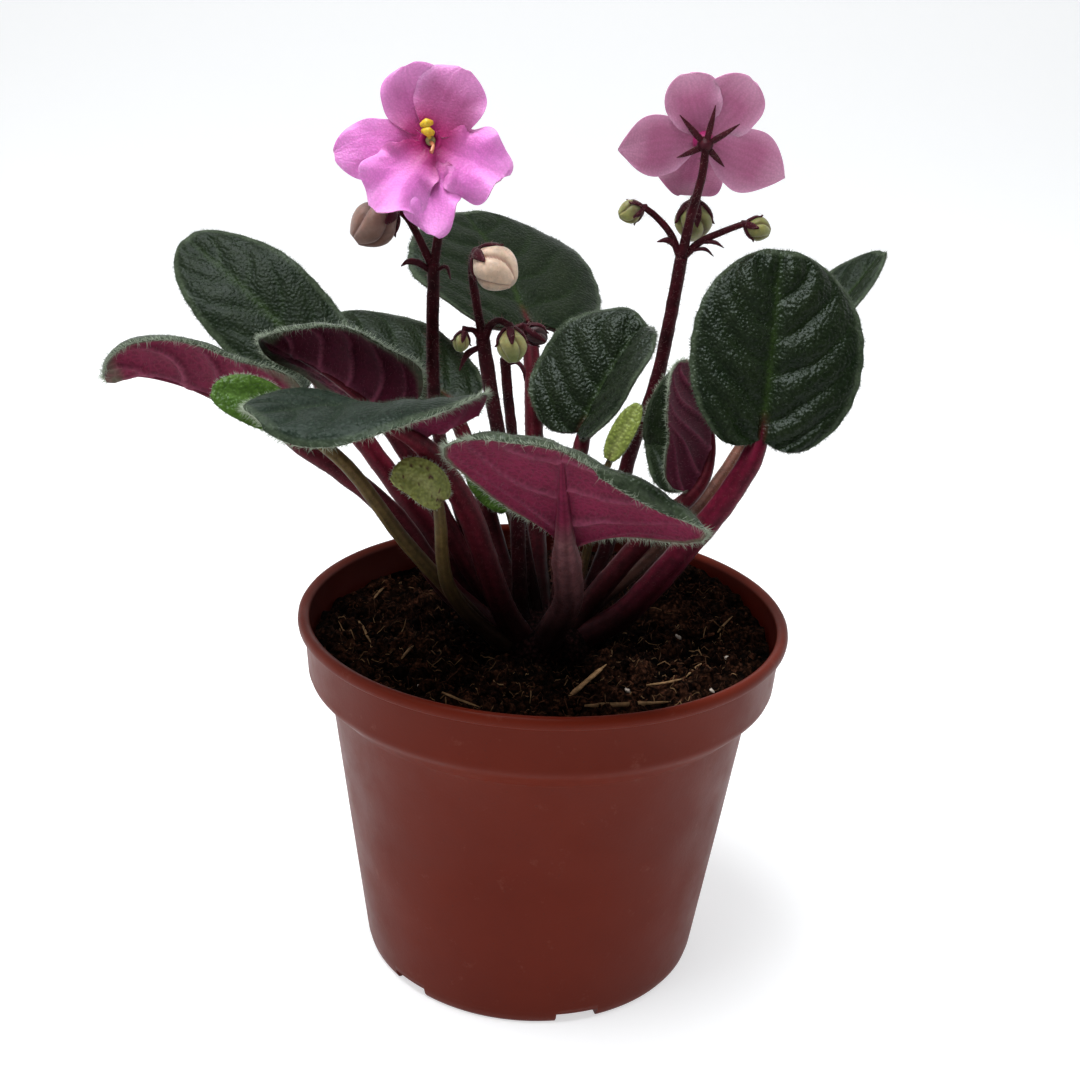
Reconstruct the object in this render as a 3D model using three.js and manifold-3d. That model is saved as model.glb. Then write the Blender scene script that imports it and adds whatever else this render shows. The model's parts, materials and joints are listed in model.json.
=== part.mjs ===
// A potted African violet: a grower's pot of soil, a low crown with radiating leaves, and two open flowers.
// Millimetres, +Z up, origin in the middle of the pot's underside, front towards -Y.
import * as THREE from 'three';
import { mergeVertices } from 'three/addons/utils/BufferGeometryUtils.js';
import Module from 'manifold-3d';

const wasm = await Module();
wasm.setup();

// Clearance between pieces that touch.
const GAP = 0.3;

// Pot, from the rim down.
const RIM_RADIUS = 55;
const POT_HEIGHT = 84;
const WALL = 1.2;
const BAND_TOP = [53.5, 81];
const BAND_FOOT = [52.8, 71.2];
const SHOULDER_FOOT = [47.8, 65.4];
const WALL_FOOT = [39.5, 4];
const FOOT_RADIUS = 38;
const UNDERSIDE = 2.6;
const FLOOR = 3.8;
const PAD_RADIUS = 14;
const FOOT_RING = 3.5;
const POT_SEGMENTS = 44;
const NOTCH_COUNT = 6;
const NOTCH_WIDTH = 9.5;
const FIRST_NOTCH = 17;
const DRAIN_RADIUS = 4;
const DRAIN_CIRCLE = 27;

// Soil and crown.
const SOIL_LEVEL = 78.5;
const SOIL_SECTORS = 34;
const CROWN_RADIUS = 12;
const CROWN_BOTTOM = 66;
const CROWN_TOP = 83;

// Leaf blades and petals.
const BLADE_THICKNESS = 1.3;
const EDGE_THICKNESS = 0.8;
const PETAL_THICKNESS = 0.8;

// Joined stems are tidied up to this much.
const FINENESS = 0.04;

// Colours.
const COLOURS = {
  terracotta: '#6f3027',
  soil: '#2a1a12',
  maroon: '#5c0f22',
  stem: '#3a0710',
  leaf: '#2c3d2c',
  youngLeaf: '#5d8a2e',
  limeLeaf: '#8f9a3c',
  petal: '#d47fc8',
  palePetal: '#c58ab4',
  anther: '#d8b515',
  creamBud: '#cdb096',
  brownBud: '#9a7268',
  greenBud: '#b8b56a',
};

// Leaves. Each has its stalk from the crown to the neck, its midrib from the neck to the tip, the way its
// upper side faces, the half widths, and how far each half folds up at the neck and at the tip. Bend adds to
// the fold towards the edge and roll turns the outer edge back down. The halves are those on the left and
// the right when the tip points away and the upper side is on top.
const LEAVES = [
  {
    name: 'leaf_back_left', colour: 'leaf', girth: [2.8, 2.1],
    stalk: [[-6, 3, 77.5], [-14.5, 3, 84], [-26, 4, 99], [-36, 6, 112], [-46, 8, 124.5], [-51.5, 11, 131]],
    rib: [[-53, 12, 135], [-69, 20, 148], [-85, 30, 158]],
    face: [-0.15, -0.6, 0.8], half: [13, 13], fold: [[0, 0], [5, 0]], bend: 5, roll: 20, wave: 0.5,
    base: 0.18, skew: 0.9,
  },
  {
    name: 'leaf_far_left', colour: 'leaf', girth: [2.7, 2],
    stalk: [[-8, -3, 77.5], [-21, -4, 88.5], [-33.5, -7, 107], [-44.5, -10, 117.5], [-52, -12, 123]],
    rib: [[-55.5, -13, 129], [-69, -18, 135.5], [-81, -22, 140.5], [-88.8, -24, 138.5]],
    face: [0.3, 0.1, 0.95], half: [17, 16], fold: [[45, 40], [5, 10]], bend: 20, roll: 80, wave: 0.4,
    base: 0.06, skew: 1,
  },
  {
    name: 'leaf_small_left', colour: 'youngLeaf', girth: [1.9, 1.4],
    stalk: [[-9, -7, 77], [-16, -10, 86], [-29.7, -17, 104.5], [-42, -26, 125]],
    rib: [[-51.6, -32, 134.3], [-58.5, -35, 138.2], [-65, -37, 140.4]],
    face: [0, -0.8, 0.6], half: [5.5, 5.5], fold: [[5, 5], [5, 0]], bend: 10, roll: 20, wave: 0.2,
    base: 0.1, skew: 1,
  },
  {
    name: 'leaf_front_left', colour: 'leaf', girth: [3.1, 2.3],
    stalk: [[-4, -6, 77.5], [-9, -9, 87], [-17, -18, 113], [-24, -26, 127]],
    rib: [[-25, -28, 132], [-38.5, -41, 140], [-52, -53.5, 144]],
    face: [0, 0.3, 0.95], half: [22, 15], fold: [[45, -24], [10, 22]], bend: 0, roll: 40, wave: 0.5,
    base: 0.14, skew: 1,
  },
  {
    name: 'leaf_inner_left', colour: 'leaf', girth: [2.4, 1.9],
    stalk: [[-5, 2, 77.5], [-14, 0, 88], [-27, -3, 113], [-34, -7, 126]],
    rib: [[-35, -8, 130], [-46, -14, 140], [-58, -20, 148]],
    face: [0.3, 0.5, 0.8], half: [16, 13], fold: [[35, 20], [0, 0]], bend: 15, roll: 65, wave: 0.5,
    base: 0.1, skew: 1,
  },
  {
    name: 'leaf_low_back_left', colour: 'leaf', girth: [2.3, 1.8],
    stalk: [[-4, 6, 77.5], [-9, 9, 88], [-18, 19, 112], [-22, 23, 120]],
    rib: [[-23, 24, 124], [-37, 34, 131], [-54, 44, 138]],
    face: [0.1, -0.35, 0.93], half: [16, 14], fold: [[10, 5], [10, 5]], bend: 5, roll: 20, wave: 0.5,
    base: 0.12, skew: 1,
  },
  {
    name: 'leaf_back', colour: 'leaf', girth: [2.6, 2],
    stalk: [[0, 8, 77.5], [-2, 14, 90], [-4, 28, 116], [-6, 39, 135]],
    rib: [[-7, 41, 140], [-15, 60, 151], [-25, 74, 160]],
    face: [0.25, -0.35, 0.9], half: [25, 24], fold: [[5, 0], [5, 0]], bend: 5, roll: 30, wave: 0.8,
    base: 0.12, skew: 1,
  },
  {
    name: 'leaf_front', colour: 'leaf', girth: [3.4, 3],
    stalk: [[1, -7, 77.5], [2, -11, 83], [5, -17.5, 92.5], [4, -29.3, 106.8]],
    rib: [[4, -31, 112], [2.5, -46, 128], [1.7, -60, 140], [1.5, -64, 141]],
    face: [0.13, 0.69, 0.64], half: [29.5, 22], fold: [[3, -9], [10, 6]], bend: 10, roll: 60, wave: 0.5,
    base: 0.06, skew: 2.2,
  },
  {
    name: 'leaf_inner_right', colour: 'leaf', girth: [2.4, 1.9],
    stalk: [[3, 5, 77.5], [4, 7, 88], [5, 14, 104], [7, 20, 116]],
    rib: [[6.7, 21, 119.3], [12.5, 26, 131], [19.5, 31, 141], [21.5, 32, 142]],
    face: [-0.3, -0.75, 0.55], half: [18, 14], fold: [[5, 0], [45, 40]], bend: 5, roll: 25, wave: 0.8,
    base: 0.1, skew: 1,
  },
  {
    name: 'leaf_right', colour: 'leaf', girth: [3.2, 2.5],
    stalk: [[7, -2, 77], [17, -5, 84.5], [24.5, -8, 95], [31.5, -10.5, 106], [37.5, -10.5, 115], [42, -10, 124]],
    rib: [[43.8, -10, 128.5], [45.3, -3, 147], [46.4, 6, 165.4]],
    face: [0, -0.93, 0.35], half: [17, 19.5], fold: [[8, 0], [8, 0]], bend: -12, roll: 10, wave: 0.4,
    base: 0.075, skew: 1,
  },
  {
    name: 'leaf_folded_right', colour: 'leaf', girth: [2.7, 2],
    stalk: [[5, -2, 77.5], [10, -2, 86], [20, -4, 101], [27.2, -6.4, 110.4]],
    rib: [[30.4, -5.8, 115.6], [34, -1, 125], [29, 7, 140.5]],
    face: [-0.95, -0.1, 0.1], half: [17, 16], fold: [[45, 40], [50, 45]], bend: 5, roll: 15, wave: 0.3,
    base: 0.08, skew: 1,
  },
  {
    name: 'leaf_back_right', colour: 'leaf', girth: [2.2, 1.7],
    stalk: [[6, 4, 77.5], [14, 6, 85], [34, 20, 100], [51, 38, 120]],
    rib: [[54, 42, 125], [67, 52, 141], [80, 60, 157]],
    face: [-0.5, -0.3, 0.8], half: [12, 6.5], fold: [[15, 10], [15, 10]], bend: 5, roll: 20, wave: 0.4,
    base: 0.12, skew: 0.9,
  },
  {
    name: 'leaf_young_speckled', colour: 'limeLeaf', girth: [1.8, 1.3],
    stalk: [[-7, -8, 77.5], [-15, -12, 85], [-20.3, -17, 94.5], [-21.6, -22.5, 104], [-21.8, -27.2, 113]],
    rib: [[-21.6, -29.5, 118.6], [-25.9, -32, 123.7], [-31, -34, 125.1]],
    face: [0.1, -0.9, 0.3], half: [3.8, 4.3], fold: [[0, 0], [0, 0]], bend: 0, roll: 10, wave: 0.3,
    base: 0.1, skew: 1,
  },
  {
    name: 'leaf_young_green', colour: 'youngLeaf', girth: [1.2, 0.9],
    stalk: [[-2, 4, 76], [-5, 7, 88], [-8, 10, 100]],
    rib: [[-9.2, 11, 103.8], [-14, 12, 108], [-18.6, 12, 111.2]],
    face: [0, -0.8, 0.6], half: [4, 4], fold: [[10, 10], [10, 10]], bend: 0, roll: 0, wave: 0.1,
    base: 0.1, skew: 1,
  },
  {
    name: 'leaf_young_lime', colour: 'limeLeaf', girth: [1.2, 0.9],
    stalk: [[5, 3, 76], [9, 4, 95], [12, 5, 114]],
    rib: [[13, 5, 118], [16, 6, 124.5], [19, 8, 130]],
    face: [-0.2, -0.8, 0.5], half: [2.8, 2.8], fold: [[10, 10], [10, 10]], bend: 0, roll: 0, wave: 0.1,
    base: 0.05, skew: 1,
  },
];

// Flower stalks. Each branch is a run of points with its radius at the start and at the end.
const FLOWER_STALKS = [
  {
    name: 'flower_stalk_left',
    branches: [
      { path: [[-6, 1, 76], [-9, 2, 82], [-15, 1, 94], [-21, 0, 111], [-25, -1, 127], [-26, -2, 145], [-26, -2, 161]],
        girth: [1.7, 1.3] },
      { path: [[-26, -2, 160], [-25, -2, 169], [-25, -1.5, 176], [-26, -2, 181]], girth: [1, 0.8],
        to: 'flower_left' },
      { path: [[-26.3, -2, 160], [-29.3, -3, 166.5], [-31.4, -5, 170.5]], girth: [0.9, 0.7],
        to: 'bud_left_brown' },
    ],
    bracts: [
      [[-26.5, -2, 159], [-29.2, -3, 161], [-31.2, -4, 161.3], [-32.5, -5, 160.5]],
      [[-26, -2, 159], [-23.4, -3, 160.4], [-22.3, -4, 158]],
    ],
  },
  {
    name: 'flower_stalk_middle',
    branches: [
      { path: [[-2, -2, 76], [-5, -1, 84], [-6, -1, 95], [-7.4, -2, 111], [-11.6, -3, 126], [-15.3, -5, 146]],
        girth: [1.8, 1.5] },
      { path: [[-15.2, -5, 145.5], [-16.8, -7, 154.6], [-17.7, -8, 160], [-17.6, -8.3, 163.6]],
        girth: [0.95, 0.8], to: 'bud_middle_cream' },
      { path: [[-15, -5, 145.5], [-13.8, -7, 149.3], [-11.7, -9, 151]], girth: [0.9, 0.7],
        to: 'bud_middle_green' },
      { path: [[-15.3, -5, 145], [-17.1, -6, 148]], girth: [0.7, 0.55], to: 'bud_middle_small' },
    ],
    bracts: [
      [[-15.6, -5, 144.5], [-18.3, -7, 143.2], [-19.9, -8, 139.8]],
    ],
  },
  {
    name: 'flower_stalk_short',
    branches: [
      { path: [[0, 2, 76], [-2, 4, 84], [-7, 5, 108], [-8.6, 5, 122], [-9.9, 4, 132], [-10.8, 4, 140]],
        girth: [1.4, 1.1] },
      { path: [[-10.8, 4, 139.5], [-10.4, 4, 143.5], [-8.6, 4, 146.6]], girth: [0.9, 0.7],
        to: 'bud_short_maroon' },
    ],
    bracts: [
      [[-10.6, 4, 138.5], [-8, 2.5, 139.5], [-6.6, 1.5, 138], [-6.4, 1.2, 136]],
    ],
  },
  {
    name: 'flower_stalk_right',
    branches: [
      { path: [[4, 3, 76], [9, 6, 83], [15, 10, 100], [18, 13, 117], [22.5, 14, 132], [25, 13, 150], [26.2, 12, 162]],
        girth: [1.9, 1.4] },
      { path: [[26.2, 12, 161.5], [27.2, 11, 169.4], [28.3, 9, 176], [29, 8, 181]], girth: [1.1, 0.8],
        to: 'flower_right' },
      { path: [[25.9, 12, 161.8], [23.5, 12.5, 166.8], [20.1, 12.5, 170.3]], girth: [0.85, 0.65],
        to: 'bud_right_outer_left' },
      { path: [[26.4, 12, 161.8], [29.8, 12, 165.3], [34.4, 12, 167.7]], girth: [0.85, 0.65],
        to: 'bud_right_outer_right' },
      { path: [[26.6, 12.4, 163], [27.2, 13.4, 169], [27.6, 14.2, 172.4], [28.2, 16.4, 174]],
        girth: [0.8, 0.65], to: 'bud_right_behind' },
    ],
    bracts: [
      [[26, 12, 163], [23, 11.5, 165.5], [20.6, 11, 165.2]],
      [[26.6, 12, 163], [31, 11.5, 164], [33, 11, 162.6]],
      [[29.8, 12, 165.3], [33, 11, 165.6], [35, 10.5, 164.6]],
    ],
  },
];

// Open flowers. Petals are given by their direction as seen from in front, their length and half width,
// and the way their tips bend forward.
const FLOWERS = [
  {
    name: 'flower_left', stalk: 'flower_stalk_left', centre: [-26.6, -8, 186], facing: [0.05, -0.95, 0.3],
    sepals: [54, 126, 198, 270, 342], colour: 'petal',
    petals: [
      { angle: 109, length: 14.8, half: 6.5, bend: 12 }, { angle: 66, length: 15, half: 6.8, bend: 5 },
      { angle: 191, length: 18.8, half: 5, bend: 4 }, { angle: 234, length: 17.2, half: 6.8, bend: 14 },
      { angle: 273, length: 18.4, half: 5.2, bend: 8 }, { angle: 334, length: 16.2, half: 6.6, bend: 6 },
    ],
  },
  {
    name: 'flower_right', stalk: 'flower_stalk_right', centre: [28.9, 12, 186.4], facing: [-0.05, 0.97, 0.12],
    sepals: [100, 147, 45, 332, 225], colour: 'palePetal',
    petals: [
      { angle: 71, length: 14.2, half: 5.8, bend: 6 }, { angle: 126, length: 15.6, half: 6.3, bend: 0 },
      { angle: -9, length: 17.4, half: 5.2, bend: 4 }, { angle: 202, length: 19.6, half: 5.6, bend: 6 },
      { angle: 276, length: 13.8, half: 7, bend: 32 },
    ],
  },
];

// Closed buds, each hanging from the end of a branch.
const BUDS = [
  { name: 'bud_left_brown', stalk: 'flower_stalk_left', colour: 'brownBud', base: [-33.9, -8, 172.4],
    axis: [-0.75, -0.2, -0.6], length: 9.5, radius: 4.2, cover: 0.3 },
  { name: 'bud_middle_cream', stalk: 'flower_stalk_middle', colour: 'creamBud', base: [-16.6, -9.4, 164.6],
    axis: [0.75, -0.35, -0.5], length: 9.6, radius: 4.6, cover: 0.32 },
  { name: 'bud_middle_green', stalk: 'flower_stalk_middle', colour: 'greenBud', base: [-9.6, -9.8, 149.6],
    axis: [0.15, -0.3, -0.9], length: 6.6, radius: 2.9, cover: 0.5 },
  { name: 'bud_middle_small', stalk: 'flower_stalk_middle', colour: 'greenBud', base: [-19.2, -7.2, 147.8],
    axis: [-0.2, -0.3, -0.9], length: 3.8, radius: 1.6, cover: 0.6 },
  { name: 'bud_short_maroon', stalk: 'flower_stalk_short', colour: 'maroon', base: [-6.6, 4, 146.8],
    axis: [0.8, 0.1, -0.5], length: 5, radius: 2.1, cover: 0.9 },
  { name: 'bud_right_outer_left', stalk: 'flower_stalk_right', colour: 'greenBud', base: [17, 12.5, 171.9],
    axis: [-0.9, -0.1, -0.3], length: 4.8, radius: 2.3, cover: 0.6 },
  { name: 'bud_right_outer_right', stalk: 'flower_stalk_right', colour: 'greenBud', base: [39.5, 12, 169.5],
    axis: [0.9, -0.1, -0.25], length: 5, radius: 2.4, cover: 0.6 },
  { name: 'bud_right_behind', stalk: 'flower_stalk_right', colour: 'greenBud', base: [28.8, 18.6, 172.8],
    axis: [0, 0.1, -0.95], length: 8, radius: 3.8, cover: 0.5 },
];

const BLADE_ROWS = 8;
const BLADE_COLUMNS = 4;
const SMALL_BLADE_ROWS = 6;
const SMALL_BLADE_COLUMNS = 3;
const SMALL_BLADE = 8;
const LOBE = 1.5;
const OUTLINE_POWER = 2.3;
const OUTLINE_ROUND = 0.55;
const STALK_SIDES = 7;
const BRANCH_SIDES = 6;
const PETAL_ROWS = 5;
const PETAL_COLUMNS = 2;
const PETAL_WAVE = 0.5;
const THROAT_RADIUS = 2.2;
const TUBE_LENGTH = 2.6;
const BUD_ROWS = 6;
const SMALL_BUD_ROWS = 5;
const BUD_SIDES = 10;
const SMALL_BUD = 2.5;
const BUD_LOBE = 0.05;
const BRACT_RADII = [0.6, 0.7, 0.55, 0.2];

function vec(point) {
  return new THREE.Vector3(point[0], point[1], point[2]);
}

function mix(a, b, t) {
  return a + (b - a) * t;
}

function fromTriangles(points, faces) {
  const geometry = new THREE.BufferGeometry();
  const positions = points.flatMap((p) => [p.x, p.y, p.z]);
  geometry.setAttribute('position', new THREE.Float32BufferAttribute(positions, 3));
  geometry.setIndex(faces.flat());
  return geometry;
}

// Skins closed rings of points, one after another, and closes both ends on their middles.
function skin(rings) {
  const count = rings[0].length;
  const points = rings.flat();
  const faces = [];
  for (let i = 0; i + 1 < rings.length; i += 1) {
    for (let j = 0; j < count; j += 1) {
      const a = i * count + j;
      const b = i * count + ((j + 1) % count);
      faces.push([a, b, b + count], [a, b + count, a + count]);
    }
  }
  const first = rings[0];
  const last = rings[rings.length - 1];
  const start = points.push(middle(first)) - 1;
  const end = points.push(middle(last)) - 1;
  const top = (rings.length - 1) * count;
  for (let j = 0; j < count; j += 1) {
    const next = (j + 1) % count;
    faces.push([start, next, j], [end, top + j, top + next]);
  }
  return fromTriangles(points, faces);
}

function middle(ring) {
  const sum = new THREE.Vector3();
  ring.forEach((p) => sum.add(p));
  return sum.divideScalar(ring.length);
}

function toSolid(geometry) {
  const bare = geometry.clone();
  bare.deleteAttribute('normal');
  bare.deleteAttribute('uv');
  const merged = mergeVertices(bare, 1e-4);
  return new wasm.Manifold(new wasm.Mesh({
    numProp: 3,
    vertProperties: new Float32Array(merged.attributes.position.array),
    triVerts: new Uint32Array(merged.index.array),
  }));
}

function toGeometry(solid) {
  const mesh = solid.getMesh();
  const geometry = new THREE.BufferGeometry();
  geometry.setAttribute('position', new THREE.Float32BufferAttribute(mesh.vertProperties, 3));
  geometry.setIndex(Array.from(mesh.triVerts));
  return geometry;
}

// Joins bodies that meet into one, without the tiny pockets that may be left between them.
function join(geometries) {
  const whole = geometries.map(toSolid).reduce((all, next) => all.add(next)).simplify(FINENESS);
  const shells = whole.decompose().sort((a, b) => b.volume() - a.volume());
  return toGeometry(shells[0]);
}

function cut(geometry, tools) {
  return toGeometry(tools.map(toSolid).reduce((left, tool) => left.subtract(tool), toSolid(geometry)));
}

// A round stem along points, with a radius given at each of them and so many steps to each of its spans.
function stem(path, radii, sides, stepsPerSpan) {
  const curve = new THREE.CatmullRomCurve3(path.map((p) => (p.isVector3 ? p : vec(p))));
  const spans = path.length - 1;
  const stops = [0];
  for (let k = 0; k < spans; k += 1) {
    const steps = Array.isArray(stepsPerSpan) ? stepsPerSpan[k] : stepsPerSpan;
    for (let i = 1; i <= steps; i += 1) stops.push((k + i / steps) / spans);
  }
  const normal = new THREE.Vector3(0.31, 0.17, 0.05);
  const rings = [];
  for (const t of stops) {
    const along = curve.getTangent(t);
    normal.addScaledVector(along, -normal.dot(along)).normalize();
    const side = new THREE.Vector3().crossVectors(along, normal);
    const at = Math.min(Math.floor(t * spans), spans - 1);
    const radius = mix(radii[at], radii[at + 1], t * spans - at);
    const centre = curve.getPoint(t);
    rings.push(circle(centre, normal, side, radius, sides));
  }
  return skin(rings);
}

function circle(centre, across, up, radius, sides) {
  const ring = [];
  for (let k = 0; k < sides; k += 1) {
    const angle = (2 * Math.PI * k) / sides;
    const point = centre.clone();
    point.addScaledVector(across, radius * Math.cos(angle));
    point.addScaledVector(up, radius * Math.sin(angle));
    ring.push(point);
  }
  return ring;
}

// The midrib's point, forward direction, upper side and right side at u, from 0 at the neck to 1 at the tip.
function ribFrame(curve, face, u) {
  const along = curve.getTangentAt(u);
  const up = face.clone().addScaledVector(along, -face.dot(along)).normalize();
  const side = new THREE.Vector3().crossVectors(along, up);
  return { point: curve.getPointAt(u), along, up, side };
}

// Width of a leaf blade at u, as a share of its widest. A larger base leaves it broad at the neck, and a
// larger skew moves its widest place towards the tip.
function leafOutline(u, { base, skew }) {
  const k = ((u + base) / (1.01 + base)) ** skew;
  return (1 - Math.abs(2 * k - 1) ** OUTLINE_POWER) ** OUTLINE_ROUND;
}

// Width of a petal at u: a narrow claw that widens to a round end.
function petalOutline(u, { base }) {
  const k = (u + 0.02) / 1.04;
  return base * (1 - u) ** 2 + Math.sin(Math.PI * k ** 1.25) ** 0.7;
}

// One half of a row of the blade, walked outward from the midrib.
function halfRow(shape, frame, u, hand, columns) {
  const width = shape.half[hand] * shape.outline(u, shape);
  const sign = hand === 0 ? -1 : 1;
  const roll = shape.roll * (1 - (1 - u) ** 4);
  const fold = mix(shape.fold[hand][0], shape.fold[hand][1], u);
  const points = [];
  const walker = frame.point.clone();
  let before = 0;
  for (let j = 1; j <= columns; j += 1) {
    const v = Math.sin((j / columns) * Math.PI * 0.5);
    const outer = Math.max(0, (v - 0.6) / 0.4);
    const angle = THREE.MathUtils.degToRad(fold + shape.bend * v - roll * outer ** 1.5);
    walker.addScaledVector(frame.side, sign * (v - before) * width * Math.cos(angle));
    walker.addScaledVector(frame.up, (v - before) * width * Math.sin(angle));
    before = v;
    const point = walker.clone();
    const back = shape.lobe * shape.half[hand] * Math.sin(v * Math.PI * 0.6) * (1 - u) ** 2;
    point.addScaledVector(frame.along, -back);
    point.addScaledVector(frame.up, shape.wave * v ** 3 * Math.sin(u * 11 + hand * 2.1));
    points.push(point);
  }
  return points;
}

function bladeGrid(shape, rows, columns) {
  const curve = new THREE.CatmullRomCurve3(shape.rib.map(vec));
  const face = vec(shape.face);
  const grid = [];
  for (let i = 0; i <= rows; i += 1) {
    const u = (1 - Math.cos((Math.PI * i) / rows)) / 2;
    const frame = ribFrame(curve, face, u);
    const left = halfRow(shape, frame, u, 0, columns).reverse();
    const right = halfRow(shape, frame, u, 1, columns);
    grid.push([...left, frame.point, ...right]);
  }
  return grid;
}

function gridNormal(grid, i, j) {
  const above = grid[Math.max(i - 1, 0)][j];
  const below = grid[Math.min(i + 1, grid.length - 1)][j];
  const left = grid[i][Math.max(j - 1, 0)];
  const right = grid[i][Math.min(j + 1, grid[i].length - 1)];
  const down = new THREE.Vector3().subVectors(below, above);
  const across = new THREE.Vector3().subVectors(right, left);
  return across.cross(down).normalize();
}

// A thin closed slab on both sides of a grid, split into triangles alike on its two faces.
function slab(grid, thickness, edgeThickness) {
  const rows = grid.length;
  const columns = grid[0].length;
  const points = [];
  for (const side of [0.5, -0.5]) {
    for (let i = 0; i < rows; i += 1) {
      for (let j = 0; j < columns; j += 1) {
        const edge = i === 0 || j === 0 || i === rows - 1 || j === columns - 1;
        const offset = side * (edge ? edgeThickness : thickness);
        const inner = THREE.MathUtils.clamp(i, 1, rows - 2);
        points.push(grid[i][j].clone().addScaledVector(gridNormal(grid, inner, j), offset));
      }
    }
  }
  const size = rows * columns;
  const faces = [];
  for (let i = 0; i + 1 < rows; i += 1) {
    for (let j = 0; j + 1 < columns; j += 1) {
      const a = i * columns + j;
      const [b, c, d] = [a + 1, a + columns + 1, a + columns];
      faces.push([a, b, c], [a, c, d]);
      faces.push([a + size, c + size, b + size], [a + size, d + size, c + size]);
    }
  }
  const border = slabBorder(rows, columns);
  border.forEach((from, k) => {
    const to = border[(k + 1) % border.length];
    faces.push([from, to + size, to], [from, from + size, to + size]);
  });
  return fromTriangles(points, faces);
}

function slabBorder(rows, columns) {
  const border = [];
  for (let j = 0; j < columns - 1; j += 1) border.push(j);
  for (let i = 0; i < rows - 1; i += 1) border.push(i * columns + columns - 1);
  for (let j = columns - 1; j > 0; j -= 1) border.push((rows - 1) * columns + j);
  for (let i = rows - 1; i > 0; i -= 1) border.push(i * columns);
  return border;
}

function leafBlade(leaf) {
  const shape = { ...leaf, outline: leafOutline, lobe: LOBE * leaf.base };
  const small = leaf.half[0] < SMALL_BLADE;
  const rows = small ? SMALL_BLADE_ROWS : BLADE_ROWS;
  const columns = small ? SMALL_BLADE_COLUMNS : BLADE_COLUMNS;
  return slab(bladeGrid(shape, rows, columns), BLADE_THICKNESS, EDGE_THICKNESS);
}

// The leaf stalk, which runs on under the blade as its raised midrib.
function leafStalk(leaf) {
  const curve = new THREE.CatmullRomCurve3(leaf.rib.map(vec));
  const face = vec(leaf.face);
  const [foot, neck] = leaf.girth;
  const path = leaf.stalk.map(vec);
  const radii = path.map((p, i) => mix(foot, neck, i / (path.length - 1)));
  for (const [u, share] of [[0.06, 0.75], [0.3, 0.5], [0.6, 0.3]]) {
    const frame = ribFrame(curve, face, u);
    const radius = Math.max(neck * share, 0.45);
    const droop = Math.min(leaf.fold[0][0], leaf.fold[1][0], leaf.fold[0][1], leaf.fold[1][1], 0);
    const clear = (radius + BLADE_THICKNESS / 2 + GAP) / Math.cos(THREE.MathUtils.degToRad(droop));
    path.push(frame.point.addScaledVector(frame.up, -clear - 0.3));
    radii.push(radius);
  }
  const steps = path.slice(1).map((p, i) => (i + 1 < leaf.stalk.length ? 2 : 1));
  return stem(path, radii, STALK_SIDES, steps);
}

function mesh(name, geometry, colour, roughness = 0.6) {
  const material = new THREE.MeshStandardMaterial({ color: COLOURS[colour], roughness, metalness: 0 });
  const piece = new THREE.Mesh(geometry, material);
  piece.name = name;
  return piece;
}

function lathe(profile, segments) {
  const geometry = new THREE.LatheGeometry(profile.map(([r, z]) => new THREE.Vector2(r, z)), segments);
  return geometry.rotateX(Math.PI / 2);
}

function pot() {
  const outside = [
    [0, 0], [PAD_RADIUS, 0], [PAD_RADIUS + 1, UNDERSIDE], [FOOT_RADIUS - FOOT_RING, UNDERSIDE],
    [FOOT_RADIUS - FOOT_RING, 0], [FOOT_RADIUS, 0], [FOOT_RADIUS + 1, 1.2], WALL_FOOT, SHOULDER_FOOT,
    [BAND_FOOT[0] - 0.6, BAND_FOOT[1] - 1.5], BAND_FOOT, BAND_TOP,
    [RIM_RADIUS - 0.3, BAND_TOP[1] + 0.4], [RIM_RADIUS, POT_HEIGHT - 1.6], [RIM_RADIUS - 0.8, POT_HEIGHT],
    [BAND_TOP[0] - 0.9, POT_HEIGHT - 0.7],
  ];
  const inside = [
    [BAND_FOOT[0] - WALL, BAND_FOOT[1] + 0.3], [SHOULDER_FOOT[0] - WALL, SHOULDER_FOOT[1]],
    [WALL_FOOT[0] - WALL, FLOOR + 1], [WALL_FOOT[0] - WALL - 1, FLOOR], [0, FLOOR],
  ];
  const body = lathe([...outside, ...inside], POT_SEGMENTS);
  const tools = [];
  for (let k = 0; k < NOTCH_COUNT; k += 1) {
    const angle = THREE.MathUtils.degToRad(FIRST_NOTCH - 90 + (360 / NOTCH_COUNT) * k);
    const notch = new THREE.BoxGeometry(2 * FOOT_RING + 6, NOTCH_WIDTH, 2 * UNDERSIDE);
    notch.translate(FOOT_RADIUS, 0, 0);
    notch.rotateZ(angle);
    const drain = new THREE.CylinderGeometry(DRAIN_RADIUS, DRAIN_RADIUS, 4, 12);
    drain.rotateX(Math.PI / 2);
    drain.translate(DRAIN_CIRCLE, 0, FLOOR);
    drain.rotateZ(angle);
    tools.push(notch, drain);
  }
  return mesh('pot', cut(body, tools), 'terracotta', 0.55);
}

// The soil's surface: hollow round the crown, heaped towards the back right, lower at the back left, crumbly.
function soilHeight(x, y) {
  const heap = 4 * Math.exp(-((x - 34) ** 2 + (y - 32) ** 2) / 420);
  const dip = 1.8 * Math.exp(-((x + 38) ** 2 + (y - 22) ** 2) / 500);
  const hollow = 4.2 * Math.exp(-(x * x + y * y) / 440);
  const crumbs = 0.5 * Math.sin(x * 0.55 + 1) * Math.cos(y * 0.6) + 0.35 * Math.sin(x * 1.1 - y * 0.9);
  return SOIL_LEVEL + heap - dip - hollow + crumbs;
}

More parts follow.
